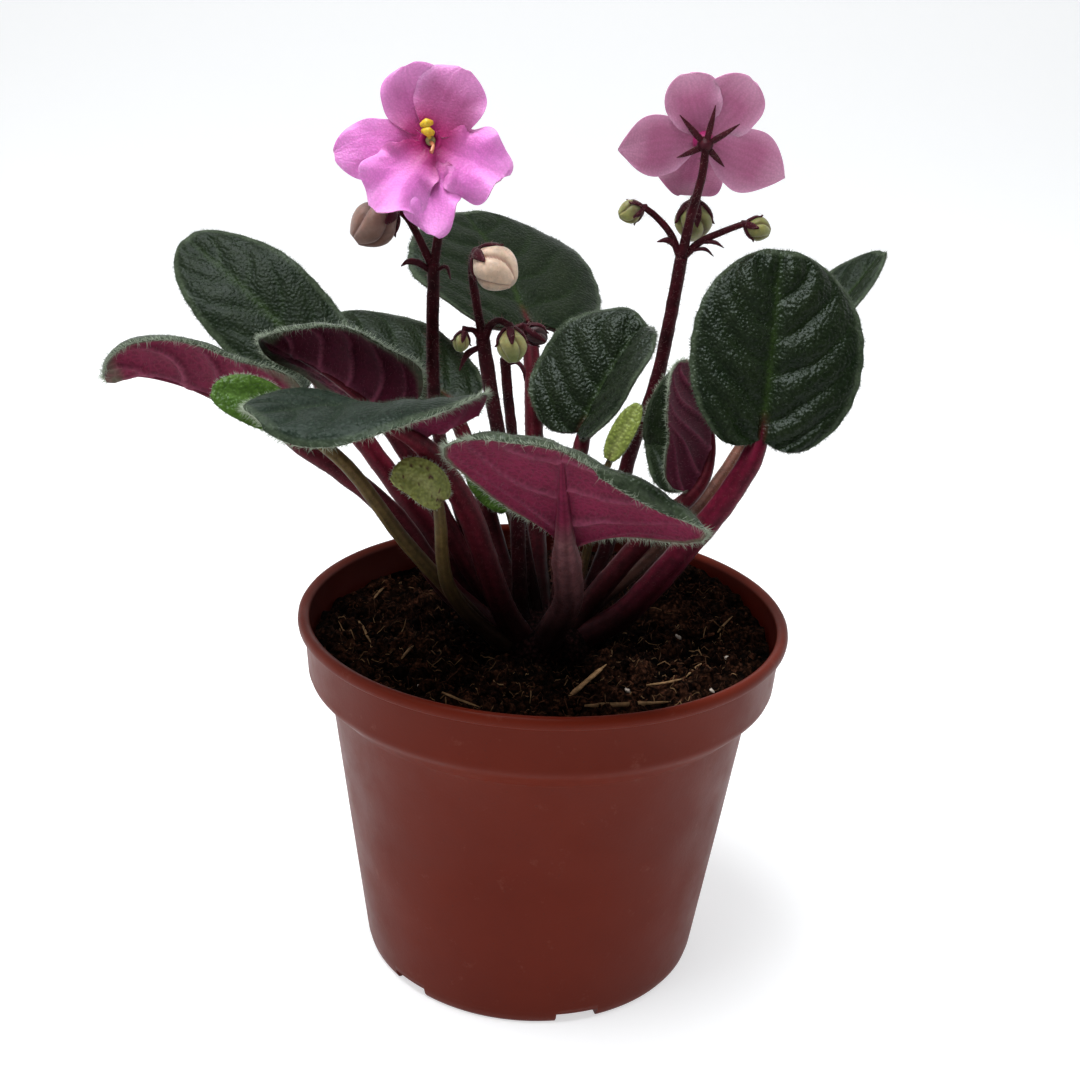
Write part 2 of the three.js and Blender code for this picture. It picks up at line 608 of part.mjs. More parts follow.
function soil() {
  const wall = (radius, height) => [radius - GAP, () => height];
  const top = (radius) => [radius, (x, y) => soilHeight(x, y)];
  const profile = [
    wall(WALL_FOOT[0] - WALL - 1.2, FLOOR + GAP), wall(SHOULDER_FOOT[0] - WALL - 0.1, SHOULDER_FOOT[1] - 0.6),
    wall(SHOULDER_FOOT[0] - WALL, SHOULDER_FOOT[1] + 1.4), wall(BAND_FOOT[0] - WALL - 0.1, BAND_FOOT[1] + 0.9),
    top(BAND_FOOT[0] - WALL - GAP - 0.1), top(47), top(42), top(36), top(30), top(23), top(CROWN_RADIUS + 4),
    top(CROWN_RADIUS + GAP), [CROWN_RADIUS + GAP, () => CROWN_BOTTOM - GAP],
  ];
  const rings = profile.map(([radius, height]) => {
    const ring = [];
    for (let k = 0; k < SOIL_SECTORS; k += 1) {
      const angle = (2 * Math.PI * k) / SOIL_SECTORS;
      const x = radius * Math.cos(angle);
      const y = radius * Math.sin(angle);
      ring.push(new THREE.Vector3(x, y, height(x, y)));
    }
    return ring;
  });
  return mesh('soil', skin(rings), 'soil', 0.95);
}

// Right, up and forward directions of a flower that faces a given way.
function flowerFrame(flower) {
  const forward = vec(flower.facing).normalize();
  const right = new THREE.Vector3().crossVectors(new THREE.Vector3(0, 0, 1), forward).normalize();
  const up = new THREE.Vector3().crossVectors(forward, right);
  return { centre: vec(flower.centre), right, up, forward };
}

// A point at a distance from the flower's axis, in a direction round it, and so far forward.
function flowerPoint(frame, angle, distance, forward) {
  const turn = THREE.MathUtils.degToRad(angle);
  const point = frame.centre.clone();
  point.addScaledVector(frame.right, distance * Math.cos(turn));
  point.addScaledVector(frame.up, distance * Math.sin(turn));
  return point.addScaledVector(frame.forward, forward);
}

function petal(flower, frame, { angle, length, half, bend }) {
  const rise = Math.tan(THREE.MathUtils.degToRad(bend));
  const places = [[THROAT_RADIUS * 0.7, 0], [length * 0.5, 0.35], [length, 1]];
  const rib = places.map(([r, share]) => flowerPoint(frame, angle, r, share * length * rise).toArray());
  const shape = {
    rib, face: frame.forward.toArray(), half: [half, half], fold: [[8, 0], [8, 0]], bend: 0, roll: 15,
    wave: PETAL_WAVE, lobe: 0, base: 0.14, outline: petalOutline,
  };
  return slab(bladeGrid(shape, PETAL_ROWS, PETAL_COLUMNS), PETAL_THICKNESS, PETAL_THICKNESS);
}

// The short tube that the petals grow from, turned to face forward.
function turned(profile, frame, segments) {
  const geometry = lathe(profile, segments);
  const basis = new THREE.Matrix4().makeBasis(frame.right, frame.up, frame.forward);
  geometry.applyMatrix4(basis);
  return geometry.translate(frame.centre.x, frame.centre.y, frame.centre.z);
}

function corolla(flower) {
  const frame = flowerFrame(flower);
  const tube = turned([
    [0, -TUBE_LENGTH], [THROAT_RADIUS * 0.7, -TUBE_LENGTH], [THROAT_RADIUS, -0.4], [THROAT_RADIUS, 0.5],
    [THROAT_RADIUS * 0.6, 0.5], [THROAT_RADIUS * 0.6, -0.5], [0, -0.5],
  ], frame, 10);
  const petals = flower.petals.map((each) => petal(flower, frame, each));
  return mesh(flower.name, join([tube, ...petals]), flower.colour, 0.6);
}

// Two anthers on a short filament and the style beside them, on one small foot that stands in the throat.
function anthers(flower) {
  const frame = flowerFrame(flower);
  const at = (x, y, z) => frame.centre.clone()
    .addScaledVector(frame.right, x).addScaledVector(frame.up, y).addScaledVector(frame.forward, z);
  const foot = stem([at(0, 0, GAP - 0.5), at(0, 0, 0.9)], [0.9, 0.7], 6, 1);
  const style = stem([at(0, -0.2, 0.6), at(0.4, -1.4, 2.4), at(-0.4, -3, 3.2)], [0.45, 0.4, 0.35], 4, 2);
  const lobes = [[-0.8, 3], [-0.5, 1.4]].map(([x, y]) => {
    const body = new THREE.SphereGeometry(1, 7, 4);
    body.scale(1.3, 0.95, 1);
    const basis = new THREE.Matrix4().makeBasis(frame.right, frame.up, frame.forward);
    body.applyMatrix4(basis);
    const place = at(x, y, 1.9);
    return body.translate(place.x, place.y, place.z);
  });
  const filament = stem([at(0, 0, 0.5), at(-0.7, 2, 1.9)], [0.5, 0.45], 4, 1);
  return mesh(`${flower.name}_anthers`, join([foot, style, filament, ...lobes]), 'anther', 0.5);
}

function calyx(flower) {
  const frame = flowerFrame(flower);
  const back = -TUBE_LENGTH - GAP;
  const cup = turned([
    [0, back - 2.2], [0.9, back - 2], [1.5, back - 1], [1.7, back], [0, back],
  ], frame, 8);
  const sepals = [];
  for (const angle of flower.sepals) {
    const path = [[0.6, back - 0.9], [3, back - 0.9], [6.4, back - 0.2]].map(([r, z]) => flowerPoint(frame, angle, r, z));
    sepals.push(stem(path, [0.9, 0.9, 0.25], 4, 1));
  }
  return [cup, ...sepals];
}

// A bud's frame, its outline radius at t along its axis, and a point on its skin.
function budFrame(bud) {
  const axis = vec(bud.axis).normalize();
  const across = new THREE.Vector3(0.2, 1, 0.1).cross(axis).normalize();
  const over = new THREE.Vector3().crossVectors(axis, across);
  return { axis, across, over };
}

function budRadius(bud, t) {
  return bud.radius * Math.sin(Math.PI * (0.1 + 0.84 * t)) ** 0.7;
}

function budPoint(bud, frame, t, angle, radius) {
  const point = vec(bud.base).addScaledVector(frame.axis, GAP + t * bud.length);
  point.addScaledVector(frame.across, radius * Math.cos(angle));
  return point.addScaledVector(frame.over, radius * Math.sin(angle));
}

function budBody(bud) {
  const frame = budFrame(bud);
  const rows = bud.radius < SMALL_BUD ? SMALL_BUD_ROWS : BUD_ROWS;
  const rings = [];
  for (let i = 0; i <= rows; i += 1) {
    const t = i / rows;
    const ring = [];
    for (let k = 0; k < BUD_SIDES; k += 1) {
      const angle = (2 * Math.PI * k) / BUD_SIDES;
      const lobes = 1 + BUD_LOBE * Math.cos(5 * angle);
      ring.push(budPoint(bud, frame, t, angle, budRadius(bud, t) * lobes));
    }
    rings.push(ring);
  }
  return mesh(bud.name, skin(rings), bud.colour, 0.6);
}

// The knob that a bud sits on, and five sepals that follow its skin.
function budCalyx(bud) {
  const frame = budFrame(bud);
  const width = 0.1 * bud.radius + 0.25;
  const knob = stem([
    budPoint(bud, frame, -1.4 / bud.length, 0, 0), budPoint(bud, frame, -GAP / bud.length, 0, 0),
  ], [0.7, budRadius(bud, 0) * (1 + BUD_LOBE) + 0.25], 8, 1);
  const sepals = [];
  for (let k = 0; k < 5; k += 1) {
    const angle = (2 * Math.PI * (k + 0.5)) / 5;
    const path = [0, 0.4, 1].map((share) => {
      const t = share * bud.cover - 0.7 / bud.length;
      const radius = budRadius(bud, share * bud.cover) * (1 + BUD_LOBE) + GAP + width * 1.2 + 0.35;
      return budPoint(bud, frame, t, angle, share === 0 ? radius * 0.5 : radius);
    });
    sepals.push(stem(path, [width, width * 1.1, 0.2], 4, 1));
  }
  return [knob, ...sepals];
}

// The middle of the knob behind a flower or a bud, where its stalk ends.
function knobPoint(name) {
  const flower = FLOWERS.find((each) => each.name === name);
  if (flower) return flowerPoint(flowerFrame(flower), 0, 0, -TUBE_LENGTH - GAP - 1.2);
  const bud = BUDS.find((each) => each.name === name);
  return budPoint(bud, budFrame(bud), -0.9 / bud.length, 0, 0);
}

function branchStem(branch, extra = 0) {
  const path = branch.path.map(vec);
  if (branch.to) path.push(knobPoint(branch.to));
  if (extra > 0) {
    const back = new THREE.Vector3().subVectors(path[0], path[1]).normalize();
    path[0].addScaledVector(back, extra);
  }
  const last = path.length - 1;
  const radii = path.map((p, i) => mix(branch.girth[0], branch.girth[1], i / last) + extra);
  return stem(path, radii, BRANCH_SIDES, path.length > 4 ? 2 : 1);
}

function flowerStalk(stalk) {
  const branches = stalk.branches.map((branch) => branchStem(branch));
  const bracts = stalk.bracts.map((path) => stem(path, BRACT_RADII.slice(-path.length), 4, 1));
  const flowers = FLOWERS.filter((each) => each.stalk === stalk.name).flatMap(calyx);
  const buds = BUDS.filter((each) => each.stalk === stalk.name).flatMap(budCalyx);
  return mesh(stalk.name, join([...branches, ...bracts, ...flowers, ...buds]), 'stem', 0.5);
}

// The crown with its leaf stalks, and a plain socket for each flower stalk.
function crown() {
  const stub = lathe([
    [0, CROWN_BOTTOM], [CROWN_RADIUS - 2, CROWN_BOTTOM], [CROWN_RADIUS, CROWN_BOTTOM + 3], [CROWN_RADIUS, 77],
    [CROWN_RADIUS - 1.5, 80], [CROWN_RADIUS - 5, CROWN_TOP - 1], [0, CROWN_TOP],
  ], 20);
  const whole = join([stub, ...LEAVES.map(leafStalk)]);
  const sockets = FLOWER_STALKS.map((stalk) => branchStem(stalk.branches[0], GAP + 0.1));
  return mesh('crown_and_leaf_stalks', cut(whole, sockets), 'maroon', 0.5);
}

const group = new THREE.Group();
group.add(pot(), soil(), crown());
LEAVES.forEach((leaf) => group.add(mesh(leaf.name, leafBlade(leaf), leaf.colour, 0.45)));
FLOWER_STALKS.forEach((stalk) => group.add(flowerStalk(stalk)));
FLOWERS.forEach((flower) => group.add(corolla(flower), anthers(flower)));
BUDS.forEach((bud) => group.add(budBody(bud)));

export default group;
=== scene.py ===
"""A potted African violet: fine leaves, flowers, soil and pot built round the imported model.

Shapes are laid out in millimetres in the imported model's frame and written to the meshes in metres.
"""

import json
import math

import bmesh
import bpy
import numpy as np
from mathutils import Matrix, Vector

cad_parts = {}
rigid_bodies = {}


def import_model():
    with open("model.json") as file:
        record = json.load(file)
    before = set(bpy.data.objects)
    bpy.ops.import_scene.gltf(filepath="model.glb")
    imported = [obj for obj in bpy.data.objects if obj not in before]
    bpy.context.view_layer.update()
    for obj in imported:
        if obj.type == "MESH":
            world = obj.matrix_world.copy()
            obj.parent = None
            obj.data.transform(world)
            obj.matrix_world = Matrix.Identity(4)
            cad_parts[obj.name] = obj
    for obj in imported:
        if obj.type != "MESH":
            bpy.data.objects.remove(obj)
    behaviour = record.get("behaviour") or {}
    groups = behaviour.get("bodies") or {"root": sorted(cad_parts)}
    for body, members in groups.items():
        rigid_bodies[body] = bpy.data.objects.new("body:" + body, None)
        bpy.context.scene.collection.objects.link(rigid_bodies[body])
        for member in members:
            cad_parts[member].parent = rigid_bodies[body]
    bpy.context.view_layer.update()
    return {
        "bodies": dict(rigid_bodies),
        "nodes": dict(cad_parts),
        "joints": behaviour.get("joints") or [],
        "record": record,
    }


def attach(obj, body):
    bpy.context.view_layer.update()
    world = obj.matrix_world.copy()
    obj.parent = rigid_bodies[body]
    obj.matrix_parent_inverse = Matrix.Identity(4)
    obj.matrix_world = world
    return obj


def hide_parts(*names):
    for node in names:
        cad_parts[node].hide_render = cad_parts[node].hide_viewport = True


MM = 0.001

# The camera: a 50 mm lens on a 36 mm sensor, a little above the plant, turned slightly on its axis.
CAMERA_PLACE = (-1.5, -312.1, 218.1)
CAMERA_TARGET = (-1.5, 0.0, 100.0)
CAMERA_ROLL = 2.58
LENS = 50
SENSOR = 36

# What a leaf has unless its row below says otherwise.
USUAL_LEAF = dict(base=0.1, skew=1, bend=5, roll=20, wave=0.5, quilt=1, fringe=0.9, rim=1.8, rim_below=0.45,
                  vein=(0.24, 0.22), spacing=0.21, top="leaf", under="under", stalk_tint="red")

# Leaves. Each has the radius of its stalk at foot and neck, the stalk from the crown to the neck, the midrib
# from the neck to the tip, the way the upper side faces, and the half widths and the folds at neck and tip of
# each half. Then come the outline at the base, the bend and the roll of the sides, the depth of the quilting,
# the length of the hairs and the width of the pale band along the rim, the veins and the tints.
LEAF_ROWS = [
    dict(name="leaf_back_left", girth=(2.8, 2.1),
         stalk=[(-6, 3, 77.5), (-14.5, 3, 84), (-26, 4, 99), (-36, 6, 112), (-46, 8, 124.5),
                (-51.5, 11, 131)],
         rib=[(-53, 12, 135), (-69, 20, 148), (-85, 30, 158)], face=(-0.15, -0.6, 0.8), half=(13, 13),
         fold=((0, 0), (5, 0)), base=0.18, skew=0.9, stalk_tint="crimson", quilt=0.45),
    dict(name="leaf_far_left", girth=(2.7, 2),
         stalk=[(-8, -3, 77.5), (-21, -4, 88.5), (-33.5, -7, 107), (-44.5, -10, 117.5), (-52, -12, 123)],
         rib=[(-55.5, -13, 129), (-69, -18, 135.5), (-81, -22, 140.5), (-88.8, -24, 138.5)],
         face=(0.3, 0.1, 0.95), half=(17, 16), fold=((45, 40), (5, 10)), bend=20, roll=80, wave=0.4,
         base=0.06, rim=3.2, rim_below=1.3, under="bright_under", fringe=1.8),
    dict(name="leaf_small_left", girth=(1.9, 1.4),
         stalk=[(-9, -7, 77), (-16, -10, 86), (-29.7, -17, 104.5), (-42, -26, 125)],
         rib=[(-51.6, -32, 135.2), (-58.5, -35, 139.2), (-65, -37, 141.2)], face=(0, -0.8, 0.6),
         half=(4.9, 4.9), fold=((5, 5), (5, 0)), bend=10, wave=0.2, stalk_tint="olive", top="young",
         under="young_under"),
    dict(name="leaf_front_left", girth=(3.1, 2.3),
         stalk=[(-4, -6, 77.5), (-9, -9, 87), (-17, -18, 113), (-24, -26, 127)],
         rib=[(-25, -28, 132), (-38.5, -41, 140), (-53.5, -55, 141.8)], face=(0, 0.3, 0.95), half=(22, 15),
         fold=((31, -24), (10, 22)), bend=0, roll=40, base=0.14, top="velvet", quilt=0.6, fringe=1.8),
    dict(name="leaf_inner_left", girth=(2.4, 1.9),
         stalk=[(-5, 2, 77.5), (-14, 0, 88), (-27, -3, 113), (-34, -7, 126)],
         rib=[(-35, -8, 130), (-46, -14, 140), (-58, -20, 148)], face=(0.3, 0.5, 0.8), half=(16, 13),
         fold=((35, 20), (0, 0)), bend=15, roll=65, under="dark_under", rim=2.8, rim_below=1.0, fringe=1.8),
    dict(name="leaf_low_back_left", girth=(2.3, 1.8),
         stalk=[(-4, 6, 77.5), (-9, 9, 88), (-18, 19, 112), (-22, 23, 120)],
         rib=[(-23, 24, 124), (-37, 34, 131), (-54, 44, 138)], face=(0.1, -0.35, 0.93), half=(16, 14),
         fold=((10, 5), (10, 5)), base=0.12, quilt=0.4),
    dict(name="leaf_back", girth=(2.6, 2), stalk=[(0, 8, 77.5), (-2, 14, 90), (-4, 28, 116), (-6, 39, 135)],
         rib=[(-7, 41, 140), (-15, 60, 151), (-25, 74, 160)], face=(0.25, -0.35, 0.9), half=(25, 24),
         fold=((5, 0), (5, 0)), roll=30, wave=0.8, base=0.12, quilt=0.4),
    dict(name="leaf_front", girth=(3.4, 3),
         stalk=[(1, -7, 77.5), (2, -11, 83), (5, -17.5, 92.5), (4, -29.3, 106.8)],
         rib=[(4, -31, 112), (2.5, -46, 128), (1.7, -60, 140), (1.5, -64, 141)], face=(0.13, 0.69, 0.64),
         half=(29.5, 22), fold=((-8, -20), (2, -2)), bend=8, roll=38, base=0.06, skew=2.2,
         stalk_tint="dusty", under="bright_under", rim=4.5, rim_below=0.2, fringe=1.8, vein=(0.1, 0.5),
         spacing=0.3),
    dict(name="leaf_inner_right", girth=(2.4, 1.9),
         stalk=[(3, 5, 77.5), (4, 7, 88), (5, 14, 104), (7, 20, 116)],
         rib=[(6.7, 21, 119.3), (12.5, 26, 131), (19.5, 31, 141), (21.5, 32, 142)],
         face=(-0.3, -0.75, 0.55), half=(18, 14), fold=((5, 0), (45, 40)), roll=25, wave=0.8, quilt=0.8),
    dict(name="leaf_right", girth=(3.2, 2.5),
         stalk=[(7, -2, 77), (17, -5, 84.5), (24.5, -8, 95), (31.5, -10.5, 106), (37.5, -10.5, 115),
                (42, -10, 124)],
         rib=[(43.8, -10, 128.5), (45.3, -3, 147), (46.4, 6, 165.4)], face=(0, -0.93, 0.35),
         half=(17, 19.5), fold=((8, 0), (8, 0)), bend=-12, roll=10, wave=0.4, base=0.075,
         stalk_tint="magenta", quilt=1.2),
    dict(name="leaf_folded_right", girth=(2.7, 2),
         stalk=[(5, -2, 77.5), (10, -2, 86), (20, -4, 101), (27.2, -6.4, 110.4)],
         rib=[(30.4, -5.8, 115.6), (34, -1, 125), (29, 7, 140.5)], face=(-0.95, -0.1, 0.1), half=(17, 16),
         fold=((45, 40), (50, 45)), roll=15, wave=0.3, base=0.08, under="dark_under", quilt=0.6,
         fringe=1.3),
    dict(name="leaf_back_right", girth=(2.2, 1.7),
         stalk=[(6, 4, 77.5), (14, 6, 85), (34, 20, 100), (51, 38, 120)],
         rib=[(54, 42, 125), (67, 52, 141), (80, 60, 157)], face=(-0.5, -0.3, 0.8), half=(12, 6.5),
         fold=((15, 10), (15, 10)), wave=0.4, base=0.12, skew=0.9, stalk_tint="tan", quilt=0.5),
    dict(name="leaf_young_speckled", girth=(1.8, 1.3),
         stalk=[(-7, -8, 77.5), (-15, -12, 85), (-20.3, -17, 94.5), (-21.6, -22.5, 104), (-21.8, -27.2, 113)],
         rib=[(-21.6, -29.5, 118.6), (-25.9, -32, 123.7), (-31, -34, 125.1)], face=(0.1, -0.9, 0.3),
         half=(3.8, 4.3), fold=((0, 0), (0, 0)), bend=0, roll=10, wave=0.3, stalk_tint="olive",
         top="speckled", under="lime_under"),
    dict(name="leaf_young_green", girth=(1.2, 0.9), stalk=[(-2, 4, 76), (-5, 7, 88), (-8, 10, 100)],
         rib=[(-9.2, 11, 103.8), (-14, 12, 108), (-18.6, 12, 111.2)], face=(0, -0.8, 0.6), half=(4, 4),
         fold=((10, 10), (10, 10)), bend=0, roll=0, wave=0.1, stalk_tint="olive", top="young",
         under="young_under"),
    dict(name="leaf_young_lime", girth=(1.2, 0.9), stalk=[(5, 3, 76), (9, 4, 95), (12, 5, 114)],
         rib=[(13, 5, 118), (16, 6, 124.5), (19, 8, 130)], face=(-0.2, -0.8, 0.5), half=(2.8, 2.8),
         fold=((10, 10), (10, 10)), bend=0, roll=0, wave=0.1, base=0.05, stalk_tint="olive", top="lime",
         under="lime_under"),
]
LEAVES = [{**USUAL_LEAF, **row} for row in LEAF_ROWS]

# Flower stalks: branches with the radius at their start and end and what they carry, and bracts.
FLOWER_STALKS = [
    dict(name="flower_stalk_left", branches=[
        dict(path=[(-6, 1, 76), (-9, 2, 82), (-15, 1, 94), (-21, 0, 111), (-25, -1, 127), (-26, -2, 145),
                   (-26, -2, 161)], girth=(1.7, 1.3)),
        dict(path=[(-26, -2, 160), (-25, -2, 169), (-25, -1.5, 176), (-26, -2, 181)], girth=(1, 0.8),
             to="flower_left"),
        dict(path=[(-26.3, -2, 160), (-29.3, -3, 166.5), (-31.4, -5, 170.5)], girth=(0.9, 0.7),
             to="bud_left_brown"),
    ], bracts=[
        [(-26.5, -2, 159), (-29.2, -3, 161), (-31.2, -4, 161.3), (-32.5, -5, 160.5)],
        [(-26, -2, 159), (-23.4, -3, 160.4), (-22.3, -4, 158)],
    ]),
    dict(name="flower_stalk_middle", branches=[
        dict(path=[(-2, -2, 76), (-5, -1, 84), (-6, -1, 95), (-7.4, -2, 111), (-11.6, -3, 126),
                   (-15.3, -5, 146)], girth=(1.8, 1.5)),
        dict(path=[(-15.2, -5, 145.5), (-16.8, -7, 154.6), (-17.7, -8, 160), (-17.6, -8.3, 163.6)],
             girth=(0.95, 0.8), to="bud_middle_cream"),
        dict(path=[(-15, -5, 145.5), (-13.8, -7, 149.3), (-11.7, -9, 151)], girth=(0.9, 0.7),
             to="bud_middle_green"),
        dict(path=[(-15.3, -5, 145), (-17.1, -6, 148)], girth=(0.7, 0.55), to="bud_middle_small"),
    ], bracts=[
        [(-15.6, -5, 144.5), (-18.3, -7, 143.2), (-19.9, -8, 139.8)],
    ]),
    dict(name="flower_stalk_short", branches=[
        dict(path=[(0, 2, 76), (-2, 4, 84), (-7, 5, 108), (-8.6, 5, 122), (-9.9, 4, 132), (-10.8, 4, 140)],
             girth=(1.4, 1.1)),
        dict(path=[(-10.8, 4, 139.5), (-10.4, 4, 143.5), (-8.6, 4, 146.6)], girth=(0.9, 0.7),
             to="bud_short_maroon"),
    ], bracts=[
        [(-10.6, 4, 138.5), (-8, 2.5, 139.5), (-6.6, 1.5, 138), (-6.4, 1.2, 136)],
    ]),
    dict(name="flower_stalk_right", branches=[
        dict(path=[(4, 3, 76), (9, 6, 83), (15, 10, 100), (18, 13, 117), (22.5, 14, 132), (25, 13, 150),
                   (26.2, 12, 162)], girth=(1.9, 1.4)),
        dict(path=[(26.2, 12, 161.5), (27.2, 11, 169.4), (28.3, 9, 176), (29, 8, 181)], girth=(1.1, 0.8),
             to="flower_right"),
        dict(path=[(25.9, 12, 161.8), (23.5, 12.5, 166.8), (20.1, 12.5, 170.3)], girth=(0.85, 0.65),
             to="bud_right_outer_left"),
        dict(path=[(26.4, 12, 161.8), (29.8, 12, 165.3), (34.4, 12, 167.7)], girth=(0.85, 0.65),
             to="bud_right_outer_right"),
        dict(path=[(26.6, 12.4, 163), (27.2, 13.4, 169), (27.6, 14.2, 172.4), (28.2, 16.4, 174)],
             girth=(0.8, 0.65), to="bud_right_behind"),
    ], bracts=[
        [(26, 12, 163), (23, 11.5, 165.5), (20.6, 11, 165.2)],
        [(26.6, 12, 163), (31, 11.5, 164), (33, 11, 162.6)],
        [(29.8, 12, 165.3), (33, 11, 165.6), (35, 10.5, 164.6)],
    ]),
]

# Open flowers, with the directions of their sepals and petals seen from in front. A petal has its length, its
# half width, the bend of its tip, how far forward it lies, how ruffled its edge is and how deep its painted
# shade is.
FLOWERS = [
    dict(name="flower_left", centre=(-26.6, -8, 186), facing=(0.05, -0.95, 0.3),
         sepals=(54, 126, 198, 270, 342), pale=False, petals=[
             dict(angle=109, length=14.8, half=6.9, bend=12, layer=-0.7, ruffle=0.3, painted_shade=0.7),
             dict(angle=66, length=15, half=7, bend=5, layer=0.6, ruffle=0.3, painted_shade=0.9),
             dict(angle=191, length=18.8, half=5.8, bend=4, layer=-0.3, ruffle=0.5, painted_shade=0.1),
             dict(angle=234, length=17.2, half=6.8, bend=14, layer=0.6, ruffle=1.7, painted_shade=0.0),
             dict(angle=273, length=18.4, half=5.3, bend=8, layer=0.0, ruffle=1.8, painted_shade=0.0),
             dict(angle=334, length=16.2, half=7.1, bend=6, layer=0.2, ruffle=1.5, painted_shade=0.0),
         ]),
    dict(name="flower_right", centre=(28.9, 12, 186.4), facing=(-0.05, 0.97, 0.12),
         sepals=(100, 147, 45, 332, 225), pale=True, petals=[
             dict(angle=71, length=14.2, half=5.8, bend=6, layer=-0.8, ruffle=0.3, painted_shade=0.5),
             dict(angle=126, length=15.6, half=6.4, bend=0, layer=0.5, ruffle=0.3, painted_shade=0.0),
             dict(angle=-9, length=17.6, half=6.4, bend=4, layer=0.0, ruffle=0.3, painted_shade=0.5, pointed=True),
             dict(angle=202, length=19.8, half=6.6, bend=6, layer=0.1, ruffle=0.3, painted_shade=0.3, pointed=True),
             dict(angle=276, length=13.8, half=7, bend=32, layer=0.5, ruffle=0.6, painted_shade=0.4),
         ]),
]

# Closed buds. Each has its base, its direction, and how much of it the sepals cover.
BUDS = [
    dict(name="bud_left_brown", base=(-33.9, -8, 172.4), axis=(-0.75, -0.2, -0.6), length=9.5, radius=4.2,
         cover=0.3, tint="brown_bud"),
    dict(name="bud_middle_cream", base=(-16.6, -9.4, 164.6),
         axis=(0.75, -0.35, -0.5), length=9.2, radius=4.3, cover=0.36, tint="cream_bud"),
    dict(name="bud_middle_green", base=(-9.6, -9.8, 149.6),
         axis=(0.15, -0.3, -0.9), length=6.6, radius=2.9, cover=0.5, tint="green_bud"),
    dict(name="bud_middle_small", base=(-19.2, -7.2, 147.8),
         axis=(-0.2, -0.3, -0.9), length=3.8, radius=1.6, cover=0.6, tint="green_bud"),
    dict(name="bud_short_maroon", base=(-6.6, 4, 146.8), axis=(0.8, 0.1, -0.5),
         length=5, radius=2.1, cover=0.9, tint="maroon_bud"),
    dict(name="bud_right_outer_left", base=(17, 12.5, 171.9),
         axis=(-0.9, -0.1, -0.3), length=4.8, radius=2.3, cover=0.5, tint="olive_bud"),
    dict(name="bud_right_outer_right", base=(39.5, 12, 169.5),
         axis=(0.9, -0.1, -0.25), length=5, radius=2.4, cover=0.5, tint="olive_bud"),
    dict(name="bud_right_behind", base=(28.8, 18.6, 172.8), axis=(0, 0.1, -0.95),
         length=8, radius=3.8, cover=0.5, tint="olive_bud"),
]

# Straws lying on the soil, from end to end in plan, with their radius, and pale bits of grit.
STRAWS = [
    ((6, -33), (14, -19), 0.7), ((9, -41), (27, -34), 0.5), ((-30, -21), (-28, -13), 0.4),
    ((-42, 1), (-38, -9), 0.35), ((-39, 23), (-40, 13), 0.4), ((35, -14), (31, -22), 0.35),
    ((22, -30), (30, -27), 0.3), ((-20, -38), (-12, -43), 0.3), ((40, 2), (44, 8), 0.3),
]
GRITS = [(41, -11, 0.9), (18, -30, 0.8), (31, 0, 0.7), (-25, -30, 0.6), (36, -28, 0.6)]

# Colours, linear.
TINTS = {
    # The _high tints are lighter tints, laid on the swells and pebbles of the quilting as painted highlight;
    # small leaves also take them for their pale rim and a green bud for its tip.
    "leaf": (0.0040, 0.0085, 0.0030), "leaf_high": (0.012, 0.018, 0.007), "leaf_vein": (0.020, 0.038, 0.007),
    "velvet": (0.008, 0.015, 0.009), "velvet_high": (0.019, 0.029, 0.021),
    "velvet_vein": (0.018, 0.033, 0.012),
    "under": (0.095, 0.009, 0.028), "under_vein": (0.190, 0.045, 0.080),
    "bright_under": (0.116, 0.011, 0.032), "dark_under": (0.045, 0.004, 0.013),
    "young": (0.030, 0.068, 0.009), "young_high": (0.065, 0.125, 0.020), "young_vein": (0.100, 0.180, 0.040),
    "young_under": (0.120, 0.160, 0.050),
    "lime": (0.150, 0.190, 0.035), "lime_high": (0.210, 0.250, 0.060), "lime_vein": (0.250, 0.280, 0.090),
    "lime_under": (0.190, 0.210, 0.070),
    "speckled": (0.120, 0.135, 0.032), "speckled_high": (0.190, 0.200, 0.060),
    "speckled_vein": (0.240, 0.240, 0.090),
    "edge": (0.070, 0.092, 0.055),
    "magenta": (0.080, 0.004, 0.015), "crimson": (0.085, 0.006, 0.014), "red": (0.060, 0.005, 0.010),
    "olive": (0.070, 0.046, 0.016), "dusty": (0.100, 0.040, 0.044), "tan": (0.130, 0.052, 0.036),
    # crown is a near-black painted shade, laid on the crown stub and on the feet of the stalks among the
    # leaves.
    "crown": (0.006, 0.002, 0.002), "stem": (0.034, 0.003, 0.006), "sepal": (0.045, 0.007, 0.012),
    "petal": (0.740, 0.200, 0.610), "petal_edge": (0.820, 0.360, 0.720), "petal_painted_shade": (0.330, 0.078, 0.200),
    "petal_pale": (0.400, 0.115, 0.235), "petal_pale_edge": (0.580, 0.295, 0.440),
    "throat": (0.320, 0.006, 0.110),
    "anther": (0.620, 0.400, 0.010), "style": (0.480, 0.180, 0.080), "ovary": (0.240, 0.220, 0.080),
    "cream_bud": (0.620, 0.450, 0.330), "brown_bud": (0.190, 0.100, 0.075),
    "green_bud": (0.330, 0.310, 0.110), "maroon_bud": (0.040, 0.008, 0.010),
    "olive_bud": (0.220, 0.220, 0.060),
    "peat": (0.006, 0.0028, 0.0018), "peat_brown": (0.050, 0.0190, 0.0100), "straw": (0.240, 0.140, 0.068),
    "grit": (0.400, 0.340, 0.290),
    "hair_pale": (0.290, 0.330, 0.250), "hair_leaf": (0.055, 0.070, 0.050), "hair_rim": (0.100, 0.125, 0.085),
    "hair_rose": (0.150, 0.055, 0.070), "hair_red": (0.140, 0.045, 0.045), "hair_stem": (0.200, 0.120, 0.110),
}

# Names handed to place for each leaf, by the tint of its upper side.
SLOTS = dict(leaf="leaf", velvet="leaf", young="young_leaf", lime="lime_leaf", speckled="lime_leaf")

